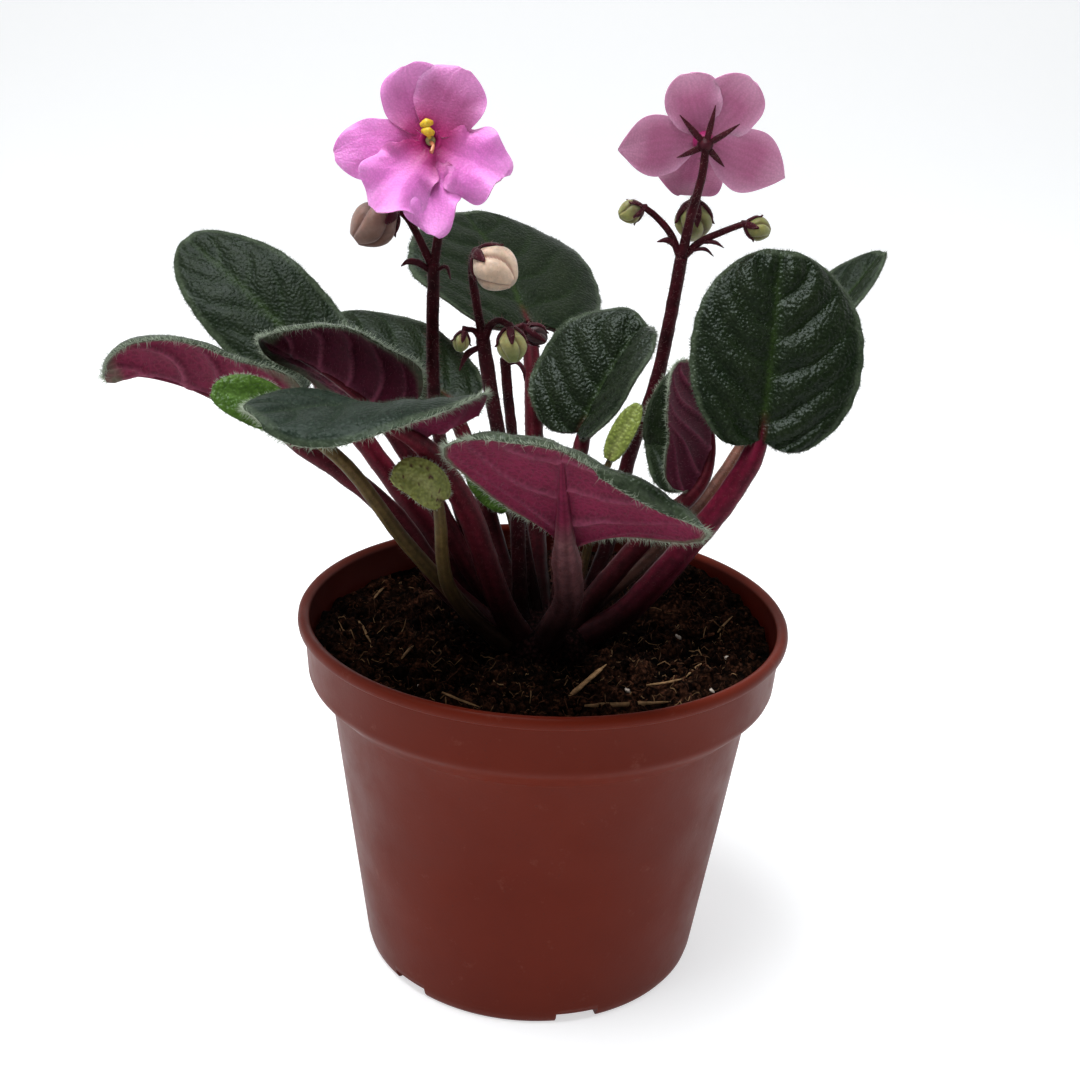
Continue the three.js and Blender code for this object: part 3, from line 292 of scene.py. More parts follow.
# The studio's sweep of pale paper, its glow and that of the sky. The lights have their place, the point they
# look at and their size, in metres, and their power and colour.
FLOOR_REACH = 4000
BACKDROP_START = 900
BACKDROP_BEND = 900
BACKDROP_HEIGHT = 3000
BACKDROP_STEPS = 16
PAPER = 0.62
PAPER_GLOW = 0.58
SKY_GLOW = 0.14
LIGHTS = [
    ("above", (-0.2, -0.08, 1.0), (0, 0, 0.12), (0.66, 0.5), 13.5, (0.95, 0.98, 1.0)),
    ("left", (-0.9, 0.05, 0.5), (0, 0, 0.12), (1.0, 1.2), 3.2, (1.0, 0.98, 0.96)),
    ("right", (0.9, 0.1, 0.45), (0, 0, 0.1), (1.0, 1.2), 2.6, (1, 1, 1)),
    ("front", (-0.5, -1.1, 0.75), (0, 0, 0.14), (1.4, 1.2), 2.6, (1, 1, 1)),
]

# Leaf blades.
BLADE_THICKNESS = 1.1
EDGE_THICKNESS = 0.5
SMALL_THICKNESS = 0.75
BLADE_ROWS = 76
BLADE_COLUMNS = 30
SMALL_ROWS = 40
SMALL_COLUMNS = 14
SMALL_LEAF = 8
FULL_HALF = 17
SOFT_QUILT = 0.7
VEIN_WIDTH = 0.07
MIDRIB_WIDTH = 0.9
MIDRIB_GROOVE = 2.6
QUILT_HEIGHT = 1.25
VEIN_DEPTH = 0.3
PEBBLE_HEIGHT = 0.12
UNDER_VEIN_HEIGHT = 0.6
LOBE = 1.5
SCALLOP = 0.006
SCALLOPS = 55
ROLL_START = 0.6
OUTLINE_POWER = 2.3
OUTLINE_ROUND = 0.55

# Stalks and hairs. A midrib has places along the blade, each with its share of the stalk's radius and how far
# it is sunk there. Names that end in HAIRS say how many hairs there are, those that end in HAIR how long.
STALK_SIDES = 20
STEM_SIDES = 18
MIDRIB = [(0.06, 0.75, 0.75), (0.3, 0.48, 0.42), (0.6, 0.27, 0.4), (0.85, 0.13, 0.4), (0.95, 0.06, 0.3)]
THINNEST_MIDRIB = 0.18
STALK_STEP = 1.0
STEM_STEP = 0.7
BRACT_GIRTH = [0.55, 0.75, 0.6, 0.12]
HAIR_RADIUS = 0.035
RIM_HAIR_RADIUS = 0.05
HAIR_RICHNESS = 1.7
TOP_HAIRS = 0.7
UNDER_HAIRS = 0.6
RIM_HAIRS = 11
SMALL_RIM_HAIRS = 6
STEM_HAIRS = 1.6
SEPAL_HAIRS = 60
BRACT_HAIRS = 50
BUD_HAIRS = 6
BUD_SEPAL_HAIRS = 9
BLADE_HAIR = 0.8
LEAF_STALK_HAIR = 1.0
STEM_HAIR = 1.1
SEPAL_HAIR = 0.7
CALYX_HAIR = 1.2
BUD_HAIR = 0.5
RIM_FAN = 0.8
HAIR_LEAN = 0.35
HAIR_BEND = 0.12
HAIR_SPREAD = (0.55, 1.15)
FINE_HAIR_RADIUS = 0.028
BUD_HAIR_RADIUS = 0.025

# Flowers and buds.
PETAL_THICKNESS = 0.4
PETAL_EDGE = 0.2
STREAK_HEIGHT = 0.03
CREASE_HEIGHT = 0.08
PETAL_ROWS = 40
PETAL_COLUMNS = 18
PETAL_BASE = 0.14
RUFFLE_FORWARD = 0.55
RUFFLE_OUTWARD = 0.045
PETAL_FOLD = 0.3
THROAT_RADIUS = 2.2
TUBE_LENGTH = 2.6
GAP = 0.3
FLOWER_KNOB = 1.2
BUD_KNOB = 0.9
TUBE = [(1.2, -TUBE_LENGTH), (1.8, -1.6), (2.2, -0.4), (2.4, 0.3), (2.0, 0.6), (1.4, 0.2), (1.0, -0.5),
        (0.3, -0.6)]
ANTHERS = [(-0.8, 3, 0.3), (-0.5, 1.4, -0.2)]
BUD_ROWS = 48
BUD_SIDES = 72
BUD_LAPS = 4
LAP_DEPTH = 0.12
LAP_WIDTH = 0.08
BUD_SEPAL = [(0, 0.8), (0.2, 1), (0.45, 1), (0.7, 0.8), (1, 0.45), (1.12, 0)]
CUP = [(0.5, -2.3), (0.95, -2), (1.5, -1), (1.75, -0.2), (1.6, 0.25), (0.4, 0.3)]
SEPAL = [(0.6, -0.9), (2.4, -0.9), (4.4, -0.8), (6.3, -0.5), (8.2, 0)]
LOWER_SEPAL = 0.78
SEPAL_TIP = 0.08
SEPAL_GIRTH = [0.55, 0.7, 0.62, 0.4, SEPAL_TIP]

# Pot, soil and crown.
ON_AXIS = 0.01
RIM_RADIUS = 55
POT_HEIGHT = 84
WALL = 1.2
BAND_TOP = (53.5, 81)
BAND_FOOT = (52.8, 71.2)
SHOULDER_FOOT = (47.8, 65.4)
WALL_FOOT = (39.5, 4)
FOOT_RADIUS = 38
UNDERSIDE = 2.6
FLOOR = 3.8
PAD_RADIUS = 14
FOOT_RING = 3.5
POT_SEGMENTS = 192
# The inside of the pot is darkened by this share as painted shade.
POT_INSIDE_SHADE = (0.40, 0.28, 0.25)
NOTCH_COUNT = 6
NOTCH_WIDTH = 9.5
FIRST_NOTCH = 17
DRAIN_RADIUS = 4
DRAIN_CIRCLE = 27
DRAIN_SIDES = 40
DRAIN_DEPTH = 4
SOIL_LEVEL = 78.5
SOIL_RADIUS = 51.2
SOIL_MARGIN = 1.5
SOIL_SECTORS = 400
SOIL_RINGS = 120
SOIL_SKIRT = [(50.9, 72.4), (46.4, 66.8), (46.1, 64.8), (37.6, 4.2)]
CRUMBS = [(1700, 0.2, 0.6, 0), (90, 0.6, 1.1, 1)]
FIBRES = [(1000, (0.8, 2.6), (0.06, 0.15), 5), (80, (3, 7), (0.10, 0.20), 1.2)]
FIBRE_RINGS = 5
# The painted shadow on the soil under the leaves: its darkest share at the crown and how far out it fades.
CROWN_SHADOW_DARKEST = 0.25
CROWN_SHADOW_REACH = 24
CROWN_RADIUS = 12
CROWN_BOTTOM = 66
CROWN_TOP = 83
# Over this height above the crown top, stalks and their hairs come out of painted shade to their full tint.
CROWN_SHADE = 30

# The starts of the random draws, and large primes that make the noise look random.
CROWN_SEED = 21
SOIL_SEED = 5
STALK_SEED = 40
NOISE_PRIMES = np.array([73856093, 19349663, 83492791])
SEED_PRIME = 7919
MIX_PRIME = 1274126177


def tint(name):
    return np.array(TINTS[name])


def unit(vector):
    vector = np.asarray(vector, float)
    return vector / np.linalg.norm(vector, axis=-1, keepdims=True)


def mix(a, b, t):
    return a + (b - a) * t


def noise(points, scale, seed):
    """Smooth noise between -1 and 1 at points, with features about scale millimetres across."""
    grid = np.asarray(points) / scale
    cell = np.floor(grid).astype(np.int64)
    part = grid - cell
    part = part * part * (3 - 2 * part)
    total = np.zeros(grid.shape[:-1])
    for corner in range(8):
        step = np.array([corner & 1, (corner >> 1) & 1, (corner >> 2) & 1])
        key = (cell + step) @ NOISE_PRIMES + seed * SEED_PRIME
        key = (key ^ (key >> 13)) * MIX_PRIME
        value = ((key ^ (key >> 16)) & 0xFFFF) / 32767.5 - 1
        weight = np.prod(np.where(step == 1, part, 1 - part), axis=-1)
        total += value * weight
    return total


class Curve:
    """A centripetal Catmull-Rom curve through points, with places by span or by share of its length."""

    def __init__(self, points):
        self.points = np.array(points, float)
        first = 2 * self.points[0] - self.points[1]
        last = 2 * self.points[-1] - self.points[-2]
        self.padded = np.vstack([first, self.points, last])
        self.stops = np.linspace(0, 1, 201)
        places = np.array([self.point(t) for t in self.stops])
        lengths = np.linalg.norm(np.diff(places, axis=0), axis=1)
        self.run = np.concatenate([[0], np.cumsum(lengths)])

    def point(self, t):
        spans = len(self.points) - 1
        k = min(int(t * spans), spans - 1)
        w = t * spans - k
        p0, p1, p2, p3 = self.padded[k : k + 4]
        d0 = np.linalg.norm(p1 - p0) ** 0.5
        d1 = np.linalg.norm(p2 - p1) ** 0.5
        d2 = np.linalg.norm(p3 - p2) ** 0.5
        m1 = ((p1 - p0) / d0 - (p2 - p0) / (d0 + d1) + (p2 - p1) / d1) * d1
        m2 = ((p2 - p1) / d1 - (p3 - p1) / (d1 + d2) + (p3 - p2) / d2) * d1
        cubic = 2 * p1 - 2 * p2 + m1 + m2
        square = -3 * p1 + 3 * p2 - 2 * m1 - m2
        return p1 + w * (m1 + w * (square + w * cubic))

    def tangent(self, t):
        before = max(t - 1e-4, 0)
        after = min(t + 1e-4, 1)
        return unit(self.point(after) - self.point(before))

    def span_share(self, t):
        return float(np.interp(t, self.stops, self.run)) / self.run[-1]

    def span_place(self, u):
        return float(np.interp(u * self.run[-1], self.run, self.stops))


class Build:
    """Collects points, faces, their material numbers and their tints into one mesh."""

    def __init__(self):
        self.points = []
        self.faces = []
        self.kinds = []
        self.tints = []
        self.count = 0

    def add(self, points, faces, tints, kind=0):
        points = np.asarray(points, float)
        self.points.append(points.reshape(-1, 3))
        self.tints.append(np.broadcast_to(tints, points.shape).reshape(-1, 3))
        for each in faces if isinstance(faces, list) else [faces]:
            self.faces.append(each + self.count)
            self.kinds.append(np.full(len(each), kind))
        self.count += len(self.points[-1])

    def join(self, ring, size, kind=0):
        """Closes the edge between the last two skins of the same size, which have the same border."""
        ring = ring + self.count - 2 * size
        after = np.roll(ring, -1)
        self.faces.append(np.stack([ring, ring + size, after + size, after], axis=1))
        self.kinds.append(np.full(len(ring), kind))

    def piece(self, name, materials):
        points = np.vstack(self.points) * MM
        loops = np.concatenate([faces.ravel() for faces in self.faces])
        sizes = np.concatenate([np.full(len(faces), faces.shape[1]) for faces in self.faces])
        data = bpy.data.meshes.new(name)
        data.vertices.add(len(points))
        data.vertices.foreach_set("co", points.ravel())
        data.loops.add(len(loops))
        data.loops.foreach_set("vertex_index", loops.astype(np.int32))
        data.polygons.add(len(sizes))
        starts = np.concatenate([[0], np.cumsum(sizes)[:-1]]).astype(np.int32)
        data.polygons.foreach_set("loop_start", starts)
        data.polygons.foreach_set("material_index", np.concatenate(self.kinds).astype(np.int32))
        data.polygons.foreach_set("use_smooth", np.ones(len(sizes), bool))
        tints = np.hstack([np.vstack(self.tints), np.ones((len(points), 1))])
        layer = data.attributes.new("tint", "FLOAT_COLOR", "POINT")
        layer.data.foreach_set("color", tints.ravel())
        data.update(calc_edges=True)
        data.validate()
        for each in materials:
            data.materials.append(each)
        made = bpy.data.objects.new(name, data)
        bpy.context.scene.collection.objects.link(made)
        return made


def place(made, slot, *nodes):
    """Hangs a piece on the part, in the place of the named nodes."""
    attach(made, "root")
    if nodes:
        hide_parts(*nodes)


def grid_faces(rows, columns, flip=False, closed=False):
    """Quads of a grid of points. A closed grid joins its last column to its first."""
    i, j = np.meshgrid(np.arange(rows - 1), np.arange(columns if closed else columns - 1), indexing="ij")
    next_j = (j + 1) % columns
    a = i * columns + j
    b = i * columns + next_j
    c = (i + 1) * columns + next_j
    d = (i + 1) * columns + j
    quads = np.stack([a, b, c, d], axis=-1).reshape(-1, 4)
    return quads[:, ::-1] if flip else quads


def grid_normals(grid):
    normal = np.cross(np.gradient(grid, axis=1), np.gradient(grid, axis=0))
    size = np.linalg.norm(normal, axis=-1, keepdims=True)
    return normal / np.maximum(size, 1e-9)


def border(rows, columns):
    top = np.arange(columns - 1)
    right = np.arange(rows - 1) * columns + columns - 1
    bottom = (rows - 1) * columns + np.arange(columns - 1, 0, -1)
    left = np.arange(rows - 1, 0, -1) * columns
    return np.concatenate([top, right, bottom, left])


def add_skins(build, grid, normal, rise, drop, colours, kinds=(0, 0)):
    """Adds a blade's upper and lower skin, set off from its middle surface, and closes its edge."""
    rows, columns = grid.shape[:2]
    top = grid + normal * rise[..., None]
    below = grid - normal * drop[..., None]
    build.add(top, grid_faces(rows, columns), colours[0], kinds[0])
    build.add(below, grid_faces(rows, columns, flip=True), colours[1], kinds[1])
    build.join(border(rows, columns), rows * columns)
    return top, below


def hairs(build, points, normals, length, rng, kind, shade, radius=HAIR_RADIUS):
    """Stands a fine bent hair on each point, as a thin three-sided spike."""
    count = len(points)
    normals = unit(normals + rng.normal(0, HAIR_LEAN, (count, 3)))
    helper = unit(np.cross(normals, rng.normal(0, 1, (count, 3))))
    other = np.cross(normals, helper)
    sizes = length * rng.uniform(*HAIR_SPREAD, count)[:, None]
    roots = []
    for k in range(3):
        angle = 2 * math.pi * k / 3
        roots.append(points + radius * (math.cos(angle) * helper + math.sin(angle) * other))
    tips = points + normals * sizes + helper * sizes * HAIR_BEND
    first = 4 * np.arange(count)[:, None]
    faces = np.vstack([first + np.array(each) for each in [(0, 1, 3), (1, 2, 3), (2, 0, 3)]])
    build.add(np.stack([*roots, tips], axis=1), faces, shade, kind)


def scatter(grid, normals, count, rng, closed=False):
    """Random places spread evenly over a grid surface, with their normals."""
    columns = grid.shape[1] if closed else grid.shape[1] - 1
    i, j = np.meshgrid(np.arange(grid.shape[0] - 1), np.arange(columns), indexing="ij")
    i, j = i.ravel(), j.ravel()
    next_j = (j + 1) % grid.shape[1]
    area = np.linalg.norm(np.cross(grid[i, next_j] - grid[i, j], grid[i + 1, j] - grid[i, j]), axis=1)
    chosen = rng.choice(len(i), count, p=area / area.sum())
    i, j, next_j = i[chosen], j[chosen], next_j[chosen]
    s, t = rng.random((2, count, 1))
    places = mix(mix(grid[i, j], grid[i, next_j], t), mix(grid[i + 1, j], grid[i + 1, next_j], t), s)
    return places, normals[i, j]


def leaf_outline(u, shape):
    """The share of a blade's half width at u of its length."""
    k = ((u + shape["base"]) / (1.01 + shape["base"])) ** shape["skew"]
    return (1 - abs(2 * k - 1) ** OUTLINE_POWER) ** OUTLINE_ROUND


def petal_outline(u):
    k = ((u + 0.02) / 1.03) ** 1.35
    return PETAL_BASE * (1 - u) ** 2 + (1 - abs(2 * k - 1) ** OUTLINE_POWER) ** OUTLINE_ROUND


def pointed_outline(u):
    k = ((u + 0.02) / 1.02) ** 1.1
    return PETAL_BASE * (1 - u) ** 2 + (1 - abs(2 * k - 1) ** 1.8) ** 0.8


def half_row(shape, frame, u, hand, vs, outline):
    """One half of a row of the blade, walked outward from the midrib to the edge."""
    point, along, up, side = frame
    half = shape["half"][hand]
    width = half * outline(u)
    width *= 1 + shape.get("scallop", 0) * math.sin(u * shape.get("scallops", 0) + hand)
    sign = -1 if hand == 0 else 1
    fold = mix(shape["fold"][hand][0], shape["fold"][hand][1], u)
    roll = shape["roll"] * (1 - (1 - u) ** 4)
    outer = np.maximum(0, (vs - ROLL_START) / (1 - ROLL_START))
    angle = np.radians(fold + shape["bend"] * vs - roll * outer**1.5)
    steps = np.diff(np.concatenate([[0], vs])) * width
    sideways = np.cumsum(steps * np.cos(angle))
    rise = np.cumsum(steps * np.sin(angle)) + shape["wave"] * vs**3 * math.sin(u * 11 + hand * 2.1)
    rise = rise + shape.get("ruffle", 0) * vs**2 * u * math.sin(u * 9 + hand * 2.6 + shape.get("turn", 0))
    back = shape.get("lobe", 0) * half * np.sin(vs * math.pi * 0.85) * (1 - u) ** 2
    return point + sign * sideways[:, None] * side + rise[:, None] * up - back[:, None] * along


def blade_grid(shape, rows, columns, outline):
    """The middle surface of a blade as a grid, with each point's place u along it and v across it."""
    curve = Curve(shape["rib"])
    face = np.array(shape["face"], float)
    us = (1 - np.cos(np.pi * np.linspace(0, 1, rows + 1))) / 2
    vs = np.sin(np.linspace(0, 1, columns + 1)[1:] * np.pi / 2)
    grid = []
    for u in us:
        t = curve.span_place(u)
        point = curve.point(t)
        along = curve.tangent(t)
        up = unit(face - along * (face @ along))
        frame = (point, along, up, np.cross(along, up))
        left = half_row(shape, frame, u, 0, vs, outline)[::-1]
        right = half_row(shape, frame, u, 1, vs, outline)
        grid.append(np.vstack([left, point[None], right]))
    signed = np.concatenate([-vs[::-1], [0], vs])
    u_map, v_map = np.meshgrid(us, signed, indexing="ij")
    return np.array(grid), u_map, v_map


def vein_maps(leaf, u, v, half, sway):
    """How close each place of a blade is to a vein, and how far the blade swells between the veins."""
    across = np.abs(v)
    slope, sweep = leaf["vein"]
    start = u - slope * across - sweep * across**3
    beat = start / leaf["spacing"] + 0.35 + 0.14 * np.sign(v) + 0.2 * sway
    off = np.abs(beat - np.round(beat))
    alive = np.clip((start + 0.32) / 0.05, 0, 1) * np.clip(1.4 - across, 0, 1) * np.clip((1 - u) / 0.1, 0, 1)
    side_vein = np.exp(-((off / VEIN_WIDTH) ** 2)) * alive
    midrib = np.exp(-((across * half / MIDRIB_WIDTH) ** 2)) * (1 - 0.5 * u)
    swell = np.clip(1 - (off / 0.5 - 1) ** 2, 0, 1) * np.clip(1.1 - across**3, 0, 1)
    swell *= 1 - np.exp(-((across * half / MIDRIB_GROOVE) ** 2))
    return np.clip(side_vein + midrib, 0, 1), swell


def rim_map(leaf, u, v, band):
    """Where a blade's surface lies within a margin band of a width: 1 at the margin, 0 inside."""
    length = Curve(leaf["rib"]).run[-1]
    width = np.array([leaf_outline(each, leaf) for each in u[:, 0]])[:, None]
    to_side = (1 - np.abs(v)) * max(leaf["half"]) * width
    to_tip = (1 - u) * length
    inside = np.minimum(to_side, to_tip)
    return np.clip(2 * (1 - inside / band), 0, 1)


def blade_colours(leaf, u, v, grid, vein, swell, pebble):
    """The tints of a blade's upper side and underside, with a painted highlight on the swells and pebbles of
    the upper side.
    """
    half = max(leaf["half"])
    name = leaf["top"]
    big = name in ("leaf", "velvet")
    patch = 0.5 + 0.5 * noise(grid, 7, 11)
    # Painted highlight: the upper side is lighter on the swells and pebbles of the quilting, mixed with
    # random patches.
    light = np.clip(0.35 * swell + 0.22 * pebble + 0.35 * patch, 0, 1)[..., None]
    above = mix(tint(name), tint(name + "_high"), light)
    rib = np.exp(-((np.abs(v) * half / 1.0) ** 2)) * (1 - 0.6 * u)
    above = mix(above, tint(name + "_vein"), (0.25 * vein + 0.75 * rib)[..., None].clip(0, 1) * 0.85)
    neck = rib * np.clip(1.3 - u / 0.12, 0, 1)
    above = mix(above, tint(leaf["stalk_tint"]), neck[..., None])
    if name == "speckled":
        dots = (noise(grid, 0.5, 17) > 0.62)[..., None]
        above = np.where(dots, tint("sepal"), above)
    below = tint(leaf["under"]) * mix(0.75, 1.25, patch)[..., None]
    flank = np.clip(np.exp(-(((1 - vein) - 0.75) / 0.2) ** 2), 0, 1)[..., None] * (vein > 0.02)[..., None]
    below = below * (1 - 0.35 * flank)
    below = mix(below, tint("under_vein" if big else "lime_vein"), vein[..., None] * 0.6)
    band = leaf["rim"]
    margin = tint("edge" if big else name + "_high")
    rough = (0.8 + 0.3 * pebble)[..., None]
    above = mix(above, margin, np.clip(rim_map(leaf, u, v, band)[..., None] * rough, 0, 1) * 0.55)
    narrow = rim_map(leaf, u, v, band * leaf["rim_below"])[..., None]
    below = mix(below, margin, np.clip(narrow * rough, 0, 1) * 0.85)
    return above, below


def blade(leaf):
    """A quilted, hairy leaf blade."""
    small = leaf["half"][0] < SMALL_LEAF
    rows, columns = (SMALL_ROWS, SMALL_COLUMNS) if small else (BLADE_ROWS, BLADE_COLUMNS)
    shape = dict(leaf, lobe=LOBE * leaf["base"], scallop=SCALLOP, scallops=SCALLOPS)
    grid, u, v = blade_grid(shape, rows, columns, lambda u: leaf_outline(u, leaf))
    rng = np.random.default_rng(sum(map(ord, leaf["name"])))
    half = max(leaf["half"])
    vein, swell = vein_maps(leaf, u, v, half, noise(grid, 9, 2))
    normal = grid_normals(grid)
    pebble = noise(grid, 1.6, 3) + 0.6 * noise(grid, 0.9, 5)
    size = min(half / FULL_HALF, 1) * leaf["quilt"]
    edge = np.maximum(np.abs(v) ** 5, np.clip((u - 0.97) / 0.03, 0, 1))
    calm = (1 - np.abs(v) ** 3) * np.clip((1 - u) / 0.12, 0, 1)
    thick = mix(BLADE_THICKNESS, EDGE_THICKNESS, edge) * (SMALL_THICKNESS if small else 1)
    relief = size * (QUILT_HEIGHT * swell - VEIN_DEPTH * vein + PEBBLE_HEIGHT * pebble) * calm
    rise = thick / 2 + relief
    drop = thick / 2 + UNDER_VEIN_HEIGHT * vein * calm * min(half / FULL_HALF, 1) - relief * 0.5
    colours = blade_colours(leaf, u, v, grid, vein, swell, pebble)
    build = Build()
    top, below = add_skins(build, grid, normal, rise, drop, colours, (0, 1))
    blade_hairs(build, leaf, top, below, normal, rng)
    face = LEAF_TOP if leaf["quilt"] > SOFT_QUILT else LEAF_SOFT
    return build.piece(leaf["name"] + "_blade", [face, LEAF_UNDER, HAIR])


def blade_hairs(build, leaf, top, below, normal, rng):
    """The hairs on a blade's two sides, and those that stand out from its rim."""
    small = leaf["half"][0] < SMALL_LEAF
    area = HAIR_RICHNESS * sum(leaf["half"]) * Curve(leaf["rib"]).run[-1]
    on_top, up = scatter(top, normal, int(area * TOP_HAIRS), rng)
    hairs(build, on_top, up, BLADE_HAIR, rng, 2, tint("hair_leaf"))
    on_under, down = scatter(below, -normal, int(area * UNDER_HAIRS), rng)
    hairs(build, on_under, down, BLADE_HAIR, rng, 2, tint("hair_rose"))
    middle = (top.reshape(-1, 3) + below.reshape(-1, 3)) / 2
    centre = middle.mean(axis=0)
    ring = border(*top.shape[:2])
    edge = middle[ring]
    after = np.roll(edge, -1, axis=0)
    lengths = np.linalg.norm(after - edge, axis=1)
    count = int(lengths.sum() * (SMALL_RIM_HAIRS if small else RIM_HAIRS))
    picks = rng.choice(len(ring), count, p=lengths / lengths.sum())
    places = mix(edge[picks], after[picks], rng.random((count, 1)))
    outward = unit(edge[picks] - centre)
    lift = normal.reshape(-1, 3)[ring][picks]
    fan = outward + lift * rng.normal(0, RIM_FAN, (count, 1))
    shaggy = small or leaf["fringe"] > USUAL_LEAF["fringe"]
    tone = tint("hair_pale" if shaggy else "hair_rim")
    hairs(build, places, fan, leaf["fringe"], rng, 2, tone, RIM_HAIR_RADIUS if shaggy else HAIR_RADIUS)


def tube_grid(path, radii, sides, step=STALK_STEP, wobble=0.0, seed=0, squash=1.0):
    """Rings along a path, with a radius given at each of its points."""
    curve = Curve(path)
    steps = max(4, int(curve.run[-1] / step))
    normal = np.array([0.31, 0.17, 0.05])
    spans = len(path) - 1
    angles = 2 * np.pi * np.arange(sides) / sides
    grid = []
    for t in np.linspace(0, 1, steps + 1):
        along = curve.tangent(t)
        normal = unit(normal - along * (normal @ along))
        side = np.cross(along, normal)
        at = min(int(t * spans), spans - 1)
        radius = mix(radii[at], radii[at + 1], t * spans - at)
        ring = np.outer(np.cos(angles), normal) * radius + np.outer(np.sin(angles), side) * radius * squash
        centre = curve.point(t)
        if wobble:
            ring = ring * (1 + wobble * noise(centre + ring * 0.8, 2.2, seed)[:, None])
        grid.append(centre + ring)
    return np.array(grid)


def add_tube(build, grid, tints, kind=0):
    """Adds a tube's skin with rounded closed ends."""
    rows, sides = grid.shape[:2]
    first = grid[0].mean(axis=0)
    last = grid[-1].mean(axis=0)
    points = np.vstack([grid.reshape(-1, 3), first, last])
    quads = grid_faces(rows, sides, closed=True)
    k = np.arange(sides)
    after = (k + 1) % sides
    start = np.stack([np.full(sides, rows * sides), after, k], axis=1)
    top = (rows - 1) * sides
    end = np.stack([np.full(sides, rows * sides + 1), top + k, top + after], axis=1)
    tints = np.broadcast_to(tints, grid.shape).reshape(-1, 3)
    tints = np.vstack([tints, tints[:1], tints[-1:]])
    build.add(points, [quads, start, end], tints, kind)


def flatten(grid, across, share):
    """Presses a tube flat in one direction by a share of its thickness."""
    off = ((grid - grid.mean(axis=1, keepdims=True)) * across).sum(axis=-1, keepdims=True)
    return grid - across * off * share


def tube_normals(grid):
    return unit(grid - grid.mean(axis=1, keepdims=True))


def out_of_crown(height):
    """How far a stalk's own colour shows through the painted shade that darkens its foot near the crown."""
    return np.clip((height - CROWN_TOP) / CROWN_SHADE, 0.06, 1)


def stand_hairs(build, grid, count, length, rng, shade, radius=FINE_HAIR_RADIUS, lowest=0):
    """Stands hairs on a tube's skin above a height, darkened by painted shade near the crown."""
    places, up = scatter(grid, tube_normals(grid), count, rng, closed=True)
    keep = places[:, 2] > lowest
    shades = shade * out_of_crown(places[keep, 2:])
    hairs(build, places[keep], up[keep], length, rng, 1, shades[:, None], radius)


def leaf_stalk_path(leaf):
    """A leaf stalk's points, which run on under the blade as its raised midrib."""
    curve = Curve(leaf["rib"])
    face = np.array(leaf["face"], float)
    foot, neck = leaf["girth"]
    path = [np.array(p, float) for p in leaf["stalk"]]
    radii = [mix(foot, neck, i / (len(path) - 1)) for i in range(len(path))]
    droop = min(0, *leaf["fold"][0], *leaf["fold"][1])
    for u, share, sunk in MIDRIB:
        t = curve.span_place(u)
        along = curve.tangent(t)
        up = unit(face - along * (face @ along))
        radius = max(neck * share, THINNEST_MIDRIB)
        clear = (radius * sunk + BLADE_THICKNESS / 2) / math.cos(math.radians(droop))
        path.append(curve.point(t) - up * clear)
        radii.append(radius)
    return path, radii


def leaf_stalk_colours(leaf, number, grid, neck):
    """A leaf stalk's tint, darkened by painted shade at its foot and like the underside past the neck,
    streaked and spotted.
    """
    climb = np.linspace(0, 1, len(grid))[:, None, None]
    under = tint(leaf["under"]) * 0.85
    colour = mix(tint(leaf["stalk_tint"]), under, np.clip((climb - neck) * 12, 0, 1))
    # Painted shade: the foot of the stalk goes to the near-black crown tint.
    shade = mix(tint("crown"), colour, out_of_crown(grid[..., 2:]))
    streak = 1 + 0.25 * np.sin(np.arange(STALK_SIDES) * 2.1 + number)[None, :, None]
    spots = 1 + 0.25 * noise(grid, 2.5, 8)[..., None]
    return shade * streak * spots


def crown():
    """The crown and all leaf stalks, with their hairs."""
    build = Build()
    rng = np.random.default_rng(CROWN_SEED)
    stub = [(CROWN_RADIUS - 2, CROWN_BOTTOM), (CROWN_RADIUS, CROWN_BOTTOM + 3), (CROWN_RADIUS, 77),
            (CROWN_RADIUS - 1.5, 80), (CROWN_RADIUS - 5, CROWN_TOP - 1.5), (ON_AXIS, CROWN_TOP - 1)]
    # The stub takes the near-black crown tint: painted shade under the leaves.
    add_lathe(build, stub, 40, tint("crown"), 2)
    for number, leaf in enumerate(LEAVES):
        path, radii = leaf_stalk_path(leaf)
        grid = tube_grid(path, radii, STALK_SIDES, wobble=0.05, seed=number)
        neck = Curve(path).span_share(len(leaf["stalk"]) / (len(path) - 1))
        add_tube(build, grid, leaf_stalk_colours(leaf, number, grid, neck))
        count = int(len(grid) * STALK_STEP * 2 * math.pi * leaf["girth"][1])
        bare = grid[: max(2, int(len(grid) * neck))]
        tone = tint("hair_pale" if leaf["stalk_tint"] == "tan" else "hair_red")
        stand_hairs(build, bare, count, LEAF_STALK_HAIR, rng, tone, lowest=CROWN_TOP - 1)
    return build.piece("crown_and_leaf_stalks_fine", [STALK, HAIR, PEAT])


def add_lathe(build, profile, segments, tints, kind=0):
    """Adds a surface turned round the upright axis, closed at both ends on the axis."""
    profile = np.array(profile, float)
    angles = 2 * np.pi * np.arange(segments) / segments
    ring = np.stack([np.cos(angles), np.sin(angles), np.zeros(segments)], axis=1)
    grid = profile[:, None, 0:1] * ring[None] + np.array([0, 0, 1.0]) * profile[:, None, 1:2]
    add_tube(build, grid, tints, kind)


def flower_frame(flower):
    forward = unit(flower["facing"])
    right = unit(np.cross([0, 0, 1], forward))
    return np.array(flower["centre"], float), right, np.cross(forward, right), forward


def flower_point(frame, angle, distance, forward):
    centre, right, up, ahead = frame
    turn = math.radians(angle)
    return centre + distance * (math.cos(turn) * right + math.sin(turn) * up) + forward * ahead


